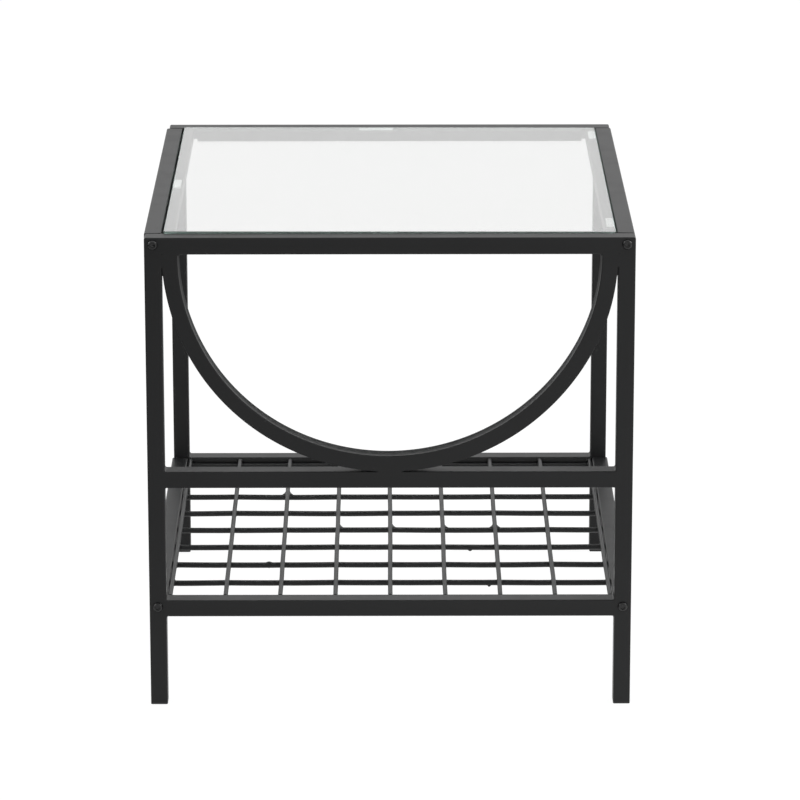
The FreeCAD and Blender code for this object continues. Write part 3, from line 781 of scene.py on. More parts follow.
@dataclass
class FrameWelds:
    """Ground welds of the two end frames and the arc, which the CAD leaves as plain butt joints.

    Attributes:
        material: the frame's finish.
        corner: the tube's outer corner radius.
        fillet: radius of the fillets in the frames' inner corners.
        proud: how far the welds stand over the tubes.
        root: how far fillets run into the tubes, and collars along the flush faces.
        groove: how deep a collar fills the groove on the flush faces.
        overlap: how far a filling overlaps the round edges beside it.
        bead_half: half of a ledge bead's length.
        bead_radius: its largest radius.
        bead_rise: height of its middle over the ledge's underside.
        bead_shares: where the beads of one ledge lie, as shares of its reach.
        side_reach: reach of the side ledges' beads along them, from the middle.
        end_reach: the same for the front and back ledges.
    """

    material: bpy.types.Material
    corner: float = 1.5 * MM
    fillet: float = 2.2 * MM
    proud: float = 0.02 * MM
    root: float = 0.4 * MM
    groove: float = 0.1 * MM
    overlap: float = 0.05 * MM
    bead_half: float = 8 * MM
    bead_radius: float = 1.5 * MM
    bead_rise: float = 0.35 * MM
    bead_shares: tuple[float, ...] = (-0.82, -0.28, 0.28, 0.82)
    side_reach: float = 245 * MM
    end_reach: float = 205 * MM

    def __post_init__(self) -> None:
        """Read the tube's width and depth and the arc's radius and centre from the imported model."""
        leg_low, leg_high = span("leg_front_right")
        arc_low, arc_high = span("arc_front")
        self.half_side = float(leg_high[0] - leg_low[0]) / 2
        self.half_depth = float(leg_high[1] - leg_low[1]) / 2
        self.leg_face = float(leg_low[0])
        self.front_line = float(leg_low[1] + leg_high[1]) / 2
        self.arc_line = float(leg_low[1]) + self.half_side
        self.arc_radius = float(arc_high[0] - arc_low[0]) / 2
        self.arc_middle = float(arc_low[2]) + self.arc_radius
        self.arc_top = float(arc_high[2])

    def inset(self, depth: np.ndarray, half_depth: float) -> np.ndarray:
        """Say how far a tube's side lies in at a distance from its axis plane.

        The side is flat up to the corner and then falls away as a quarter circle: corner
        radius less the root of radius squared less the overshoot squared.

        Args:
            depth: signed distances from the tube's axis plane.
            half_depth: half of the tube's depth.

        Returns:
            How far the side lies in.
        """
        over = np.clip(np.abs(depth) - (half_depth - self.corner), 0.0, self.corner)
        return self.corner - np.sqrt(np.maximum(self.corner ** 2 - over ** 2, 0.0))

    def collar(self, half_depth: float) -> np.ndarray:
        """Give the loops of the weld round a tube's end where it meets another tube's side.

        Across the weld, the distance from the other tube falls as one less the sine of an
        angle, and the height over the ending one grows as one less its cosine. On the flush
        front and back the height is nought and the weld fills the groove of the other tube's
        round edge.

        Args:
            half_depth: half of the ending tube's depth.

        Returns:
            Rows x points x 3 array: distance off the side, front to back, and across.
        """
        places, normals = rounded_box(half_depth, self.half_side, self.corner)
        upright = np.abs(normals[:, 1])
        reach = self.fillet * upright + self.root * (1 - upright)
        start = -self.inset(places[:, 0], half_depth) - self.groove * (1 - upright)
        angles = np.linspace(0.0, np.pi / 2, 9)[:, None]
        along = reach - (reach - start) * np.sin(angles)
        across = places[None, :, 0] + self.proud * normals[None, :, 0] * np.ones_like(angles)
        rise = places[None, :, 1] + normals[None, :, 1] * (self.proud + self.fillet * (1 - np.cos(angles)))
        skin = np.stack([along, across, rise], -1)
        narrowed, nearer, deeper = 0.92, 0.7, 0.5 * MM
        buried = skin[[-1, 0]] * np.array([1.0, narrowed, narrowed])
        buried[0, :, 0] -= deeper
        buried[1, :, 0] *= nearer
        return np.concatenate([skin, buried])

    def rail_collar(self, side: float, face: float, y: float, z: float) -> Surface:
        """Put a collar round a rail's end, on the inner face of the leg at one side.

        Args:
            side: -1 for the left leg, +1 for the right one.
            face: distance of the legs' inner faces from the middle.
            y: the rail's middle line.
            z: the rail's middle height.

        Returns:
            The closed ring.
        """
        off, across, rise = np.moveaxis(self.collar(self.half_depth), -1, 0)
        return looped(np.stack([side * (face - off), y + across, z + rise], -1))

    def arc_end_collar(self, side: float) -> Surface:
        """Put a collar round the arc's end at one side, under the top rail."""
        off, across, rise = np.moveaxis(self.collar(self.half_side), -1, 0)
        middle_radius = self.arc_radius - self.half_side
        middle = math.sqrt(middle_radius ** 2 - (self.arc_middle - self.arc_top) ** 2)
        return looped(np.stack([side * (middle + rise), self.arc_line + across, self.arc_top - off], -1))

    def inner_fillet(self, face_x: float, inward: float, y: float, under_z: float) -> Surface:
        """Make the fillet between an upright's inner face and the rail over it.

        At each depth the fillet is a quarter circle about a point one radius off both faces,
        and reaches down into the round edges at the front and back.

        Args:
            face_x: the upright's inner face.
            inward: +1 or -1, from the upright to the middle.
            y: the frame's middle line.
            under_z: the rail's underside.

        Returns:
            The closed shape.
        """
        share = np.sin(np.linspace(-np.pi / 2, np.pi / 2, 25))
        depth = (self.half_depth - self.overlap) * share
        sunk = self.inset(depth, self.half_depth)[:, None]
        angles = np.linspace(0.0, np.pi / 2, 9)[None, :]
        side = self.fillet - (self.fillet + sunk) * np.cos(angles)
        down = self.fillet - (self.fillet + sunk) * np.sin(angles)
        corner = -sunk - self.root
        side = np.concatenate([side, corner * 0 + self.fillet, corner], 1)
        down = np.concatenate([down, corner, corner * 0 + self.fillet], 1)
        side[:, -1] = corner[:, 0]
        down[:, -2] = corner[:, 0]
        loops = np.stack([
            face_x + inward * side, y + np.repeat(depth[:, None], side.shape[1], 1), under_z - down,
        ], -1)
        return lofted(loops)

    def seam(self, run: np.ndarray, low: np.ndarray, high: np.ndarray, depth: np.ndarray,
             upright: bool) -> Surface:
        """Fill the groove between the arc and a tube beside it, flush with their fronts.

        Each loop goes from the front to the back. Its corners lie on both tubes' round edges, at
        the depth that the filling has there.

        Args:
            run: places along the seam.
            low: the first tube's face at each place.
            high: the second tube's face at each place.
            depth: how deep the filling lies under the front face.
            upright: the seam runs along Z, not X.

        Returns:
            The closed shape.
        """
        front = self.half_side - depth
        edge = self.inset(front, self.half_side) + self.overlap
        inner, deep = 0.6 * front, 0.3 * MM
        across = [low - edge, high + edge, high + deep, high + deep, high + edge, low - edge,
                  low - deep, low - deep]
        depths = [-front, -front, -inner, inner, front, front, inner, -inner]
        first = np.stack(across, -1)
        second = self.arc_line + np.stack(depths, -1)
        third = np.repeat(run[:, None], 8, 1)
        order = [first, second, third] if upright else [third, second, first]
        return lofted(np.stack(order, -1))

    def arc_to_rail(self) -> Surface:
        """Make the weld under the arc, where the gap grows as the circle leaves the rail."""
        start, stop, fade, sunk = -17.0 * MM, 15.0 * MM, 5.0 * MM, 1.7 * MM
        run = np.linspace(start, stop, 41)
        open_ends = 1 - eased((run - start) / fade) * eased((stop - run) / fade)
        underside = self.arc_middle - np.sqrt(self.arc_radius ** 2 - run ** 2)
        rail_top = np.full_like(run, span("middle_rail_front")[1][2])
        return self.seam(run, rail_top, underside, open_ends * sunk - self.proud, False)

    def arc_to_leg(self, side: float) -> Surface:
        """Make the weld beside the arc's end, flush above and sunk where the gap grows downwards."""
        length, full, fade, sunk = 22.5 * MM, 15.5 * MM, 4.0 * MM, 1.6 * MM
        run = np.linspace(self.arc_top - length, self.arc_top - self.proud, 41)
        open_end = 1 - eased((run - (self.arc_top - full)) / fade)
        face = np.sqrt(self.arc_radius ** 2 - (self.arc_middle - run) ** 2)
        leg = np.full_like(run, self.leg_face)
        shape = self.seam(run, face, leg, open_end * sunk - self.proud, True)
        shape.points[:, 0] *= side
        return shape

    def ledge_bead(self, start: np.ndarray, stop: np.ndarray, seed: int) -> Surface:
        """Make one short bead in the groove under a ledge, as a row of overlapping ripples.

        The radius is the root of one less the fourth power of the distance from the middle,
        times one plus a tenth of the sine of the distance, for the ripples.

        Args:
            start: one end of the bead.
            stop: its other end.
            seed: what sets its own unevenness.

        Returns:
            The closed shape.
        """
        rng = np.random.default_rng(seed)
        ripple_length, ripple_height, flatness = 1.7 * MM, 0.10, 0.62
        share = np.linspace(0.02, 0.98, 30)
        length = np.linalg.norm(stop - start)
        swell = np.sqrt(np.maximum(1 - (2 * share - 1) ** 4, 0.0))
        turned = share * length / ripple_length * 2 * np.pi + rng.uniform(0, 6)
        size = self.bead_radius * swell * (1 + ripple_height * np.sin(turned))
        ahead = (stop - start) / length
        aside = np.cross(ahead, [0.0, 0.0, 1.0])
        angles = np.linspace(0, 2 * np.pi, 12, endpoint=False)
        above = flatness * np.array([0.0, 0.0, 1.0])
        ring = np.cos(angles)[:, None] * aside + np.sin(angles)[:, None] * above
        middle = start + share[:, None] * (stop - start)
        return lofted(middle[:, None] + size[:, None, None] * ring[None])

    def build(self) -> None:
        """Make the welds of both end frames, the arc and the ledges."""
        heights = [float(middle_of(f"{level}_rail_front")[2]) for level in ("middle", "shelf")]
        under = float(span("top_rail_front")[0][2])
        front_shapes = [
            self.rail_collar(side, self.leg_face, self.front_line, height)
            for side in SIDES for height in heights
        ]
        make_piece("front_frame_welds", joined(front_shapes), self.material)
        back_face, back_line = float(span("leg_back_right")[0][0]), -self.front_line
        back_shapes = [self.rail_collar(side, back_face, back_line, heights[1]) for side in SIDES]
        back_shapes += [self.inner_fillet(side * back_face, -side, back_line, under) for side in SIDES]
        make_piece("back_frame_welds", joined(back_shapes), self.material)
        arc_shapes = [self.arc_to_rail()]
        arc_shapes += [make(side) for make in (self.arc_to_leg, self.arc_end_collar) for side in SIDES]
        make_piece("arc_welds", joined(arc_shapes), self.material)
        make_piece("ledge_weld_beads", joined(self.ledge_beads()), self.material)

    def ledge_beads(self) -> list[Surface]:
        """Give the beads under the four ledges, four to each."""
        side_line, end_line = span("ledge_right")[1][0], span("ledge_back")[1][1]
        height = np.array([0.0, 0.0, span("ledge_right")[0][2] + self.bead_rise])
        across, ahead = np.eye(3)[:2]
        ledges = (
            (side_line * across, ahead, self.side_reach, 10),
            (end_line * ahead, across, self.end_reach, 20),
        )
        beads = []
        for number, share in enumerate(self.bead_shares):
            for side in SIDES:
                for line, along, reach, seed in ledges:
                    middle, half = side * line + share * reach * along + height, self.bead_half * along
                    beads.append(self.ledge_bead(middle - half, middle + half, seed + number))
        return beads


# Shelf


@dataclass
class WireShelf:
    """The welded mesh: cross rods between the rails and long rods on top of them.

    Attributes:
        material: the frame's finish on rod.
        count: rods each way.
        sides: faces round a rod.
        seed: what sets the unevenness.
        sway: how far a rod strays from its line.
        press: how far the electrodes lifted the cross rods at each crossing.
        bell: width of that lift.
        flare: radius of the welds at a rod's ends.
        held: distance from its ends over which a rod comes back to its line.
        nugget: half sizes of the weld at a crossing, across, along and up.
    """

    material: bpy.types.Material
    count: int = 9
    sides: int = 20
    seed: int = 1172
    sway: float = 0.22 * MM
    press: float = 0.12 * MM
    bell: float = 9 * MM
    flare: float = 1.1 * MM
    held: float = 8 * MM
    nugget: tuple[float, float, float] = (3.2 * MM, 4.3 * MM, 4.0 * MM)

    def __post_init__(self) -> None:
        """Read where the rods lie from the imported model."""
        self.rng = np.random.default_rng(self.seed)
        numbers = range(1, self.count + 1)
        self.cross_boxes = [span(f"cross_rod_{number}") for number in numbers]
        self.long_boxes = [span(f"long_rod_{number}") for number in numbers]
        self.cross_lines = np.array([(low[1] + high[1]) / 2 for low, high in self.cross_boxes])
        self.long_lines = np.array([(low[0] + high[0]) / 2 for low, high in self.long_boxes])
        self.height = float(middle_of("cross_rod_1")[2])

    def between(self, run: np.ndarray, knots: np.ndarray, values: np.ndarray) -> np.ndarray:
        """Pass smoothly through values at knots, with an eased step between neighbours."""
        index = np.clip(np.searchsorted(knots, run) - 1, 0, len(knots) - 2)
        share = eased((run - knots[index]) / (knots[index + 1] - knots[index]))
        return values[index] + share * (values[index + 1] - values[index])

    def rod(self, low: np.ndarray, high: np.ndarray, axis: int, crossings: np.ndarray,
            lift: float) -> Surface:
        """Make one rod.

        Its line strays sideways by an eased chain of small random steps, one at each crossing,
        and rises at each crossing by lift times a bell curve. Its radius flares at both ends,
        where it is welded on, as one less the root of a circle.

        Args:
            low: lowest corner of its CAD node.
            high: highest corner of its CAD node.
            axis: 0 for a cross rod, 1 for a long rod.
            crossings: places along the rod where others cross it.
            lift: rise at each crossing.

        Returns:
            The closed shape.
        """
        middle = (low + high) / 2
        radius = (high[2] - low[2]) / 2
        ends, plain = np.array([0.0, 0.25, 0.5, 0.9, 1.4, 2.2, 3.2]) * MM, 5 * MM
        inner = np.linspace(low[axis] + plain, high[axis] - plain, 105)
        run = np.concatenate([low[axis] + ends, inner, (high[axis] - ends)[::-1]])
        knots = np.concatenate([[low[axis] - MM], crossings, [high[axis] + MM]])
        knots = np.unique(np.round(knots, 6))
        stray = self.between(run, knots, self.rng.uniform(-1, 1, len(knots)) * self.sway)
        upward_gain, mean_bell = 1.3, 0.4
        tilt = self.between(run, knots, self.rng.uniform(-1, 1, len(knots)) * self.sway * upward_gain)
        bells = np.exp(-(((run[:, None] - crossings[None]) / self.bell) ** 2)).sum(1)
        from_end = np.minimum(run - low[axis], high[axis] - run)
        over = np.clip(self.flare - from_end, 0, self.flare)
        size = radius + self.flare - np.sqrt(np.maximum(self.flare ** 2 - over ** 2, 0.0))
        hold = eased(from_end / self.held)
        rise = (tilt + lift * (bells - mean_bell)) * hold
        angles = np.linspace(0, 2 * np.pi, self.sides, endpoint=False)
        aside = middle[1 - axis] + (stray * hold)[:, None] + size[:, None] * np.cos(angles)
        up = middle[2] + rise[:, None] + size[:, None] * np.sin(angles)
        along = np.repeat(run[:, None], self.sides, 1)
        parts = [along, aside, up] if axis == 0 else [aside, along, up]
        return lofted(np.stack(parts, -1))

    def lump(self, middle: np.ndarray, size: np.ndarray, square: float, rings: int = 6,
             sides: int = 10) -> Surface:
        """Make a small closed lump, a ball drawn out of round.

        A direction's sine and cosine are raised to a power under one, which squares the ball.

        Args:
            middle: its centre.
            size: its half sizes.
            square: the power, 1 for an ellipsoid.
            rings: loops from pole to pole.
            sides: points on each loop.

        Returns:
            The closed shape.
        """
        steepest = np.pi / 2 - 0.25
        tilt = np.linspace(-steepest, steepest, rings)[:, None]
        turn = np.linspace(0, 2 * np.pi, sides, endpoint=False)[None]

        def bent(value: np.ndarray) -> np.ndarray:
            """Raise a sine or cosine to the power, keeping its sign."""
            return np.sign(value) * np.abs(value) ** square

        loops = np.stack([
            bent(np.cos(tilt)) * bent(np.cos(turn)),
            bent(np.cos(tilt)) * bent(np.sin(turn)),
            bent(np.sin(tilt)) * np.ones_like(turn),
        ], -1)
        return lofted(middle + loops * size)

    def crossing_welds(self) -> list[Surface]:
        """Give the nuggets that the resistance welds squeezed out at each crossing."""
        raised, smallest, largest, shift, square = 0.6 * MM, 0.90, 1.06, 0.25, 0.85
        lumps = []
        for x in self.long_lines:
            for y in self.cross_lines:
                size = np.array(self.nugget) * self.rng.uniform(smallest, largest, 3)
                shifted = self.rng.uniform(-shift, shift, 3) * MM
                lumps.append(self.lump(np.array([x, y, self.height + raised]) + shifted, size, square))
        return lumps

    def spur(self, cross: int, long: int, side: float, reach: float, back: float) -> Surface:
        """Make a small tip of weld splash on the far side of a crossing.

        The tip is a flat cone: it starts wide on both rods and narrows along a quarter turn.

        Args:
            cross: number of the cross rod.
            long: number of the long rod.
            side: +1 to the right of the long rod, -1 to the left.
            reach: its length along the cross rod.
            back: its length along the long rod.

        Returns:
            The closed shape.
        """
        x, y = self.long_lines[long - 1], self.cross_lines[cross - 1]
        beside, behind, under, sharp = 2.2 * MM, 1.2 * MM, 0.9 * MM, 2.6
        middle = np.array([x + side * beside, y + behind, self.cross_boxes[0][1][2] - under])
        angles = np.linspace(0, np.pi / 2, 9)
        outline = np.stack([
            side * reach * np.cos(angles) ** sharp, back * np.sin(angles) ** sharp, np.zeros_like(angles),
        ], -1)
        heel = [-side * 1.2 * MM, -1.0 * MM, 0.0]
        outline = np.concatenate([outline, [heel]])
        levels = np.array([-1.3, -0.8, 0.0, 0.8, 1.3]) * MM
        narrow = np.array([0.55, 0.9, 1.0, 0.9, 0.55])
        loops = middle + outline[None] * narrow[:, None, None]
        loops[..., 2] += levels[:, None]
        return lofted(loops)

    def splash(self) -> list[Surface]:
        """Give the few uneven spots of weld splash.

        A row of spurs is cross rod, long rod, side, and reach and back in millimetres. A row of
        blobs is cross rod, place across the table in metres, and height over the rod's middle
        and half sizes in millimetres.

        Returns:
            The closed shapes.
        """
        spurs = (
            (5, 4, 1.0, 4.6, 16), (5, 5, 1.0, 4.8, 17), (5, 6, 1.0, 4.4, 15), (5, 7, 1.0, 4.2, 15),
            (5, 7, -1.0, 4.0, 13), (7, 3, -1.0, 4.2, 17), (7, 3, 1.0, 4.0, 15),
        )
        shapes = [self.spur(*where, reach * MM, back * MM) for *where, reach, back in spurs]
        blobs = (
            (3, -0.1295, 0.2, (5.0, 3.4, 3.6)), (4, 0.0865, -2.1, (2.6, 2.4, 2.4)),
            (2, 0.1045, -1.9, (2.2, 2.4, 2.6)),
        )
        for cross, x, over, size in blobs:
            middle = np.array([x, self.cross_lines[cross - 1], self.height + over * MM])
            shapes.append(self.lump(middle, np.array(size) * MM, 1.0, 7, 12))
        return shapes

    def build(self) -> None:
        """Make every rod, the welds at their crossings and the splash."""
        for kind, axis, boxes, crossings, lift in (
            ("cross", 0, self.cross_boxes, self.long_lines, self.press),
            ("long", 1, self.long_boxes, self.cross_lines, 0.0),
        ):
            for number, (low, high) in enumerate(boxes, 1):
                node = f"{kind}_rod_{number}"
                shape = self.rod(low, high, axis, crossings, lift)
                make_piece(f"shelf_{node}", shape, self.material, [node])
        make_piece("shelf_crossing_welds", joined(self.crossing_welds()), self.material)
        make_piece("shelf_weld_splash", joined(self.splash()), self.material)


# Glass, pads and bolts


@dataclass
class GlassPlate:
    """The float glass plate with ground arrises, which lies a little lower on the right.

    Attributes:
        material: its finish.
        arris: width of the ground arrises.
        corner: radius of its corners seen from above.
        drop: how much lower its right edge lies than its left one.
    """

    material: bpy.types.Material
    arris: float = 0.5 * MM
    corner: float = 3.0 * MM
    drop: float = 1.0 * MM

    def sunk(self, x: np.ndarray | float) -> np.ndarray | float:
        """Say how far the plate lies under its CAD node at a place across the table."""
        low, high = span("glass_top")
        return self.drop * (x - float(low[0])) / float(high[0] - low[0])

    def build(self) -> None:
        """Loft the plate's outline, a box with round corners, up through its arrises.

        The outline shrinks by the arris at the underside and the top, and every point sinks
        in proportion to its distance from the left edge.
        """
        low, high = span("glass_top")
        middle, half = (low + high) / 2, (high - low) / 2
        places, normals = rounded_box(float(half[0]), float(half[1]), self.corner)
        shrink = np.array([self.arris, 0.0, 0.0, self.arris])[:, None, None]
        height = np.array([low[2], low[2] + self.arris, high[2] - self.arris, high[2]])[:, None]
        spots = middle[:2] + places[None] - shrink * normals[None]
        up = height - self.sunk(spots[..., 0])
        shape = lofted(np.concatenate([spots, up[..., None]], -1))
        make_piece("glass_plate", shape, self.material, ["glass_top"])


@dataclass
class GlassPads:
    """Clear pads with soft edges between the ledges and the glass.

    Attributes:
        material: their finish.
        plate: the glass that lies on them.
        length: of one pad.
        width: of one pad.
        edge: how far its edges are rounded.
        power: of the superellipse that it is seen from above.
        fill: share of the height between ledge and glass that it takes.
        right_places: where the right ledge's pads lie along it.
        left_place: where the left ledge's pad lies along it.
        end_place: where the front and back ledges' pads lie along them.
    """

    material: bpy.types.Material
    plate: GlassPlate
    length: float = 38 * MM
    width: float = 8 * MM
    edge: float = 0.45 * MM
    power: float = 8.0
    fill: float = 0.98
    right_places: tuple[float, ...] = (-206.25 * MM, 218.9 * MM)
    left_place: float = -28.6 * MM
    end_place: float = -15.0 * MM

    def pad(self, x: float, y: float, along_x: bool, low: float, high: float) -> Surface:
        """Make one pad.

        Seen from above it is a superellipse. Its side bulges as half an ellipse.

        Args:
            x: its centre across the table.
            y: its centre along the table.
            along_x: it lies along X, not Y.
            low: height of the ledge that it lies on.
            high: height of the level glass over it.

        Returns:
            The closed shape.
        """
        turn = np.linspace(0, 2 * np.pi, 64, endpoint=False)[None]
        tilt = np.linspace(-np.pi / 2, np.pi / 2, 11)[:, None]
        circle = np.stack([np.cos(turn), np.sin(turn)])
        across, along = np.sign(circle) * np.abs(circle) ** (2 / self.power)
        high = high - self.plate.sunk(x)
        short, long = (size / 2 - self.edge * (1 - np.cos(tilt)) for size in (self.width, self.length))
        height = (low + high) / 2 + self.fill * (high - low) / 2 * np.sin(tilt) * np.ones_like(turn)
        first, second = (long, short) if along_x else (short, long)
        return lofted(np.stack([x + first * across, y + second * along, height], -1))

    def build(self) -> None:
        """Make the pads as one piece."""
        low, high = (float(corner[2]) for corner in span("glass_pads"))
        side_line = float(middle_of("ledge_right")[0])
        end_line = float(middle_of("ledge_back")[1])
        shapes = [self.pad(side_line, y, False, low, high) for y in self.right_places]
        shapes.append(self.pad(-side_line, self.left_place, False, low, high))
        shapes += [self.pad(self.end_place, end * end_line, True, low, high) for end in SIDES]
        make_piece("soft_glass_pads", joined(shapes), self.material, ["glass_pads"])


@dataclass
class FrameBolts:
    """Button-head socket bolts through the frames' corners.

    Attributes:
        material: their finish.
        head_radius: of the head.
        socket: half width of the socket across its flats.
        points: points round each loop.
    """

    material: bpy.types.Material
    head_radius: float = 5.25 * MM
    socket: float = 2.0 * MM
    points: int = 72

    def __post_init__(self) -> None:
        """Read the side rails' line and the frames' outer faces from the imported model."""
        self.across = float(middle_of("top_rail_right")[0])
        self.face = float(span("leg_back_right")[1][1])

    def profile(self) -> np.ndarray:
        """Give the half outline from the shank's tip over the head to the socket's floor.

        Each row is radius and height over the frame's face in millimetres, and how much of the
        hexagon is in it.

        Returns:
            N x 3 array in metres and shares.
        """
        head, flat = self.head_radius / MM, self.socket / MM
        rim_height, dome_height, fullness, crown = 0.95, 2.33, 0.70, 3.2
        dome = [
            (head - 0.05 - (head - crown) * share,
             rim_height + dome_height * math.sin(share * math.pi / 2) ** fullness, 0.0)
            for share in np.linspace(0.0, 1.0, 10)
        ]
        rows = [
            (0.9, -29.9, 0.0), (2.2, -30.0, 0.0), (3.0, -29.2, 0.0), (3.0, -15.0, 0.0), (3.0, -0.2, 0.0),
            (3.15, 0.02, 0.0), (head - 0.25, 0.02, 0.0), (head - 0.03, 0.12, 0.0), (head, 0.40, 0.0), *dome,
            (3.0, 3.30, 0.0), (flat + 0.42, 3.30, 0.4), (flat + 0.22, 3.22, 0.9), (flat + 0.05, 3.06, 1.0),
            (flat, 2.9, 1.0), (flat, 1.5, 1.0), (flat - 0.05, 1.34, 1.0), (flat - 0.4, 1.24, 0.7),
            (0.2, 0.95, 0.0),
        ]
        return np.array(rows) * np.array([MM, MM, 1.0])

    def bolt(self, x: float, outward: float, z: float, turned: float) -> tuple[Surface, np.ndarray]:
        """Make one bolt.

        Each loop is a circle mixed with a hexagon, whose radius is its half width over the
        cosine of the angle to the nearest flat.

        Args:
            x: its axis across the table.
            outward: -1 for the front frame, +1 for the back one.
            z: its axis's height.
            turned: angle that the socket is turned by.

        Returns:
            The closed shape, and angle and radius at each point for the lathe's UV map.
        """
        rows = self.profile()
        angles = np.linspace(0, 2 * np.pi, self.points, endpoint=False)[None]
        wedge = (angles - turned) % (np.pi / 3) - np.pi / 6
        hexagon = 1 / np.cos(wedge)
        share = rows[:, 2:3]
        radius = rows[:, 0:1] * (1 - share + share * hexagon)
        height = rows[:, 1:2] * np.ones_like(angles)
        loops = np.stack([
            x + radius * np.cos(angles), outward * (self.face + height), z + radius * np.sin(angles),
        ], -1)
        lathe = np.stack([angles / (2 * np.pi) * np.ones_like(radius), radius * LATHE_PER_M], -1)
        return lofted(loops), lathe.reshape(-1, 2)

    def build(self, level: str, turns: tuple[float, ...]) -> None:
        """Make the four bolts of one level as one piece with its lathe map.

        Args:
            level: top or shelf.
            turns: how far each socket is turned, in radians.
        """
        node = f"frame_bolts_{level}"
        z = float(middle_of(node)[2])
        spots = [(side * self.across, outward) for outward in SIDES for side in SIDES]
        made = [self.bolt(x, outward, z, turned) for (x, outward), turned in zip(spots, turns)]
        piece = make_piece(f"button_bolts_{level}", joined([shape for shape, _ in made]),
                           self.material, [node])
        lathe = np.concatenate([uv for _, uv in made])
        corners = np.zeros(len(piece.data.loops), np.int32)
        piece.data.loops.foreach_get("vertex_index", corners)
        layer = piece.data.uv_layers.new(name="lathe")
        layer.data.foreach_set("uv", lathe[corners].astype(np.float32).ravel())


# Studio


PICTURE_PX = 800


def posed(right: np.ndarray, up: np.ndarray, back: np.ndarray, place: tuple[float, float, float]) -> Matrix:
    """Give the matrix of a camera or lamp.

    Args:
        right: its own X axis.
        up: its own Y axis.
        back: its own Z axis, away from what it points at.
        place: where it is.

    Returns:
        The matrix.
    """
    matrix = np.eye(4)
    matrix[:3] = np.stack([right, up, back, place], -1)
    return Matrix(matrix.tolist())


@dataclass(frozen=True)
class Softbox:
    """One large soft lamp.

    Attributes:
        name: its name.
        place: where it hangs.
        target: what it points at.
        size: its width and height.
        power: in watts.
        mirrored: it shows in gloss.
    """

    name: str
    place: tuple[float, float, float]
    target: tuple[float, float, float]
    size: tuple[float, float]
    power: float
    mirrored: bool


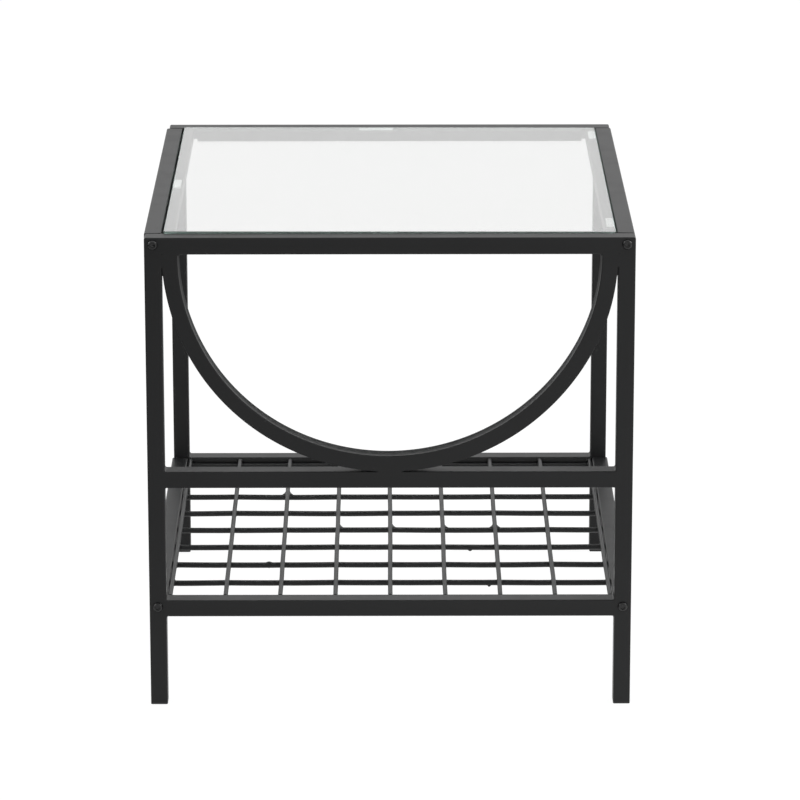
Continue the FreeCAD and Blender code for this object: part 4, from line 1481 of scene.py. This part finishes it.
@dataclass
class Studio:
    """White studio and the camera that the photograph was taken with.

    Attributes:
        eye: the camera's place.
        pitch: how far it looks down, in radians.
        yaw: how far it is turned, in radians.
        roll: how far it is tilted, in radians.
        focal_px: focal length in pixels of an 800-pixel picture.
        sky: strength of the white that lights the table from all round.
        ceiling: strength of the ceiling in mirror rays.
        dark_above: sines of the heights where the ceiling starts and is full.
        strip: strength of the long softbox from side to side overhead, in mirror rays.
        strip_slope: its change from the middle to the right end.
        strip_edge: slants to the front or back where it is full and where it ends.
        strip_start: sines of the heights where it starts and is full.
        tone: of the floor in gloss, under the table, which carries painted light and shade.
        painted_light_across: its painted brightening per metre to the right.
        painted_light_along: its painted brightening per metre to the back.
        painted_shade_behind: share of it that is left behind the table, as painted shade.
        behind: how far back that share starts and is full.
        tone_far: tone of the floor far behind, where it turns up into the backdrop.
        far: how far back that tone starts and is full.
        floor_reach: half of the floor's side.
        floor_drop: how far the floor lies under the feet.
        floor_glow: its own white.
        floor_matt: how much light it gives back, which shows the shadow.
        softboxes: the lamps.
    """

    eye: tuple[float, float, float] = (-0.0029134, -4.777529, 1.5814334)
    pitch: float = 0.2712
    yaw: float = 0.0029
    roll: float = -0.0006
    focal_px: float = 4558.7543
    sky: float = 0.55
    ceiling: float = 0.18
    dark_above: tuple[float, float] = (0.55, 0.85)
    strip: float = 1.7
    strip_slope: float = 0.6
    strip_edge: tuple[float, float] = (0.10, 0.28)
    strip_start: tuple[float, float] = (0.45, 0.60)
    tone: float = 0.95
    painted_light_across: float = 0.40
    painted_light_along: float = 0.15
    painted_shade_behind: float = 0.30
    behind: tuple[float, float] = (-0.1, 0.6)
    tone_far: float = 0.85
    far: tuple[float, float] = (1.1, 1.9)
    floor_reach: float = 14.0
    floor_drop: float = 0.4 * MM
    floor_glow: float = 0.95
    floor_matt: float = 0.10
    softboxes: tuple[Softbox, ...] = (
        Softbox("overhead_softbox", (0.3, 0.2, 2.6), (0.0, 0.0, 0.3), (2.2, 2.2), 34.0, False),
        Softbox("right_softbox", (2.3, 0.5, 1.75), (0.0, 0.0, 0.3), (0.35, 1.3), 9.0, True),
        Softbox("left_softbox", (-2.3, 0.5, 1.75), (0.0, 0.0, 0.3), (0.30, 1.2), 6.5, True),
    )

    def place_camera(self) -> None:
        """Turn the camera's axes by yaw and pitch, then roll them about its line of sight."""
        sin, cos = math.sin, math.cos
        ahead = np.array([sin(self.yaw) * cos(self.pitch), cos(self.yaw) * cos(self.pitch), -sin(self.pitch)])
        right = np.array([cos(self.yaw), -sin(self.yaw), 0.0])
        up = np.cross(right, ahead)
        turned_right = cos(self.roll) * right + sin(self.roll) * up
        turned_up = -sin(self.roll) * right + cos(self.roll) * up
        data = bpy.data.cameras.new("studio_camera")
        data.sensor_fit = "HORIZONTAL"
        data.sensor_width = 36.0
        data.lens = self.focal_px / PICTURE_PX * data.sensor_width
        camera = bpy.data.objects.new("studio_camera", data)
        camera.matrix_world = posed(turned_right, turned_up, -ahead, self.eye)
        bpy.context.scene.collection.objects.link(camera)
        bpy.context.scene.camera = camera

    @staticmethod
    def seen_as_white(wiring: Wiring) -> Socket:
        """Give 1 for rays from the camera, mirror rays and rays through glass."""
        ray = wiring.rays()
        either = wiring.sum("MAXIMUM", ray["Is Camera Ray"], ray["Is Glossy Ray"])
        return wiring.sum("MAXIMUM", either, ray["Is Transmission Ray"])

    def light_sky(self) -> None:
        """Make the world white where it is seen, and a plain soft light elsewhere.

        Mirror rays see the white walls and, higher up, the darker ceiling, with one long
        softbox across it from side to side.
        """
        world = bpy.data.worlds.new("studio_world")
        world.use_nodes = True
        bpy.context.scene.world = world
        wiring = Wiring(world.node_tree)
        background = world.node_tree.nodes["Background"]
        background.inputs["Color"].default_value = (1.0, 1.0, 1.0, 1.0)
        ray = wiring.rays()
        upward = wiring.split(wiring.node("ShaderNodeTexCoord").outputs["Generated"])
        walls = wiring.stepped(upward["Z"], *self.dark_above, 1.0, self.ceiling)
        inside = wiring.stepped(wiring.sum("ABSOLUTE", upward["Y"]), *self.strip_edge, 1.0, 0.0)
        overhead = wiring.sum("MULTIPLY", inside, wiring.stepped(upward["Z"], *self.strip_start))
        power = wiring.sum("MULTIPLY_ADD", upward["X"], self.strip_slope, self.strip)
        mirrored = wiring.sum("MULTIPLY_ADD", overhead, power, walls)
        sharp = wiring.sum("MAXIMUM", ray["Is Glossy Ray"], ray["Is Transmission Ray"])
        lit = wiring.level(sharp, self.sky, mirrored)
        wiring.feed(background.inputs["Strength"], wiring.level(ray["Is Camera Ray"], lit, 1.0))

    def lay_floor(self) -> None:
        """Lay a white floor, nearly all of whose white is its own, so a faint shadow stays.

        Gloss sees it dimmer, with painted light and shade: a floor tone that grows to the right and
        towards the back under the table, falls to a share of that behind it as painted shade, and
        grows again far behind.
        """
        corners = self.floor_reach * np.array([[-1, -1, 0], [1, -1, 0], [1, 1, 0], [-1, 1, 0]])
        corners[:, 2] = -self.floor_drop
        mesh = bpy.data.meshes.new("studio_floor")
        mesh.from_pydata(corners.tolist(), [], [[0, 1, 2, 3]])
        floor = bpy.data.objects.new("studio_floor", mesh)
        bpy.context.scene.collection.objects.link(floor)
        material, wiring, shader, output = new_material("studio_floor")
        shader.inputs["Base Color"].default_value = (0.8, 0.8, 0.8, 1.0)
        shader.inputs["Roughness"].default_value = 0.9
        shader.inputs["Specular IOR Level"].default_value = 0.0
        seen = self.seen_as_white(wiring)
        matt = wiring.node("ShaderNodeBsdfDiffuse", {"Color": (*[self.floor_matt] * 3, 1.0)})
        parts = wiring.split(wiring.places)
        # Painted light and shade of the floor in gloss: brighter to the right and back, painted shade under
        # and behind the table.
        across = wiring.sum("MULTIPLY_ADD", parts["X"], self.painted_light_across, self.tone)
        slope = wiring.sum("MULTIPLY_ADD", parts["Y"], self.painted_light_along, across, clamp=True)
        near = wiring.sum("MULTIPLY", slope, wiring.stepped(parts["Y"], *self.behind, 1.0, self.painted_shade_behind))
        far = wiring.stepped(parts["Y"], *self.far, 0.0, self.tone_far)
        mirrored = wiring.sum("MAXIMUM", near, far)
        ray = wiring.rays()
        in_gloss = wiring.sum("SUBTRACT", ray["Is Glossy Ray"], ray["Is Transmission Ray"], clamp=True)
        strength = wiring.level(in_gloss, self.floor_glow, mirrored)
        glow = wiring.node("ShaderNodeEmission", {"Strength": strength})
        white = wiring.node("ShaderNodeAddShader", {0: matt.outputs[0], 1: glow.outputs[0]})
        both = wiring.node("ShaderNodeMixShader", {0: seen, 1: shader.outputs[0], 2: white.outputs[0]})
        wiring.feed(output.inputs["Surface"], both.outputs[0])
        mesh.materials.append(material)

    def hang_lamps(self) -> None:
        """Hang each softbox and point it at its target."""
        for box in self.softboxes:
            data = bpy.data.lights.new(box.name, "AREA")
            data.shape = "RECTANGLE"
            data.size, data.size_y = box.size
            data.energy = box.power
            lamp = bpy.data.objects.new(box.name, data)
            back = np.array(box.place) - np.array(box.target)
            back = back / np.linalg.norm(back)
            steep = abs(back[2]) > 0.9
            right = np.cross([0.0, 1.0, 0.0] if steep else [0.0, 0.0, 1.0], back)
            right = right / np.linalg.norm(right)
            lamp.matrix_world = posed(right, np.cross(back, right), back, box.place)
            lamp.visible_glossy = box.mirrored
            bpy.context.scene.collection.objects.link(lamp)

    def build(self) -> None:
        """Set up the camera, the floor, the lamps and the world."""
        bpy.context.scene.view_settings.view_transform = "Standard"
        self.place_camera()
        self.lay_floor()
        self.hang_lamps()
        self.light_sky()
        LOG.info("studio: %d softboxes", len(self.softboxes))


# Main


def main() -> None:
    """Build the studio, dress the CAD nodes and make every new piece."""
    logging.basicConfig(level=logging.INFO, format="%(name)s: %(message)s")
    Studio().build()
    effects = SharedEffects()
    tube_coat, rod_coat, pad_plastic, foot_plastic, steel, bolt_coat = (
        finish.material(effects)
        for finish in (TUBE_COAT, ROD_COAT, PAD_PLASTIC, FOOT_PLASTIC, STEEL, BOLT_COAT)
    )
    low, high = span("glass_top")
    half_width, half_depth = ((high - low)[:2] / 2).tolist()
    glass = FloatGlass(half_width, half_depth, float(low[1] + high[1]) / 2).material(effects)

    nodes = sorted(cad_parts)
    tubes = [name for name in nodes if name.startswith(("leg_", "ledge_", "arc_")) or "_rail_" in name]
    DressedNodes("tubes", tubes, tube_coat).dress()
    DressedNodes("feet", [name for name in nodes if name.startswith("foot_")], foot_plastic).dress()
    DressedNodes("inserts", [name for name in nodes if name.startswith("rail_inserts")], steel).dress()

    RolledArc(tube_coat).build()
    TopSideRails(tube_coat).build()
    FrameWelds(tube_coat).build()
    WireShelf(rod_coat).build()
    plate = GlassPlate(glass)
    plate.build()
    GlassPads(pad_plastic, plate).build()
    bolts = FrameBolts(bolt_coat)
    bolts.build("top", (0.30, 1.10, 0.62, 0.15))
    bolts.build("shelf", (0.85, 0.20, 0.40, 0.95))


if __name__ == "__main__":
    main()
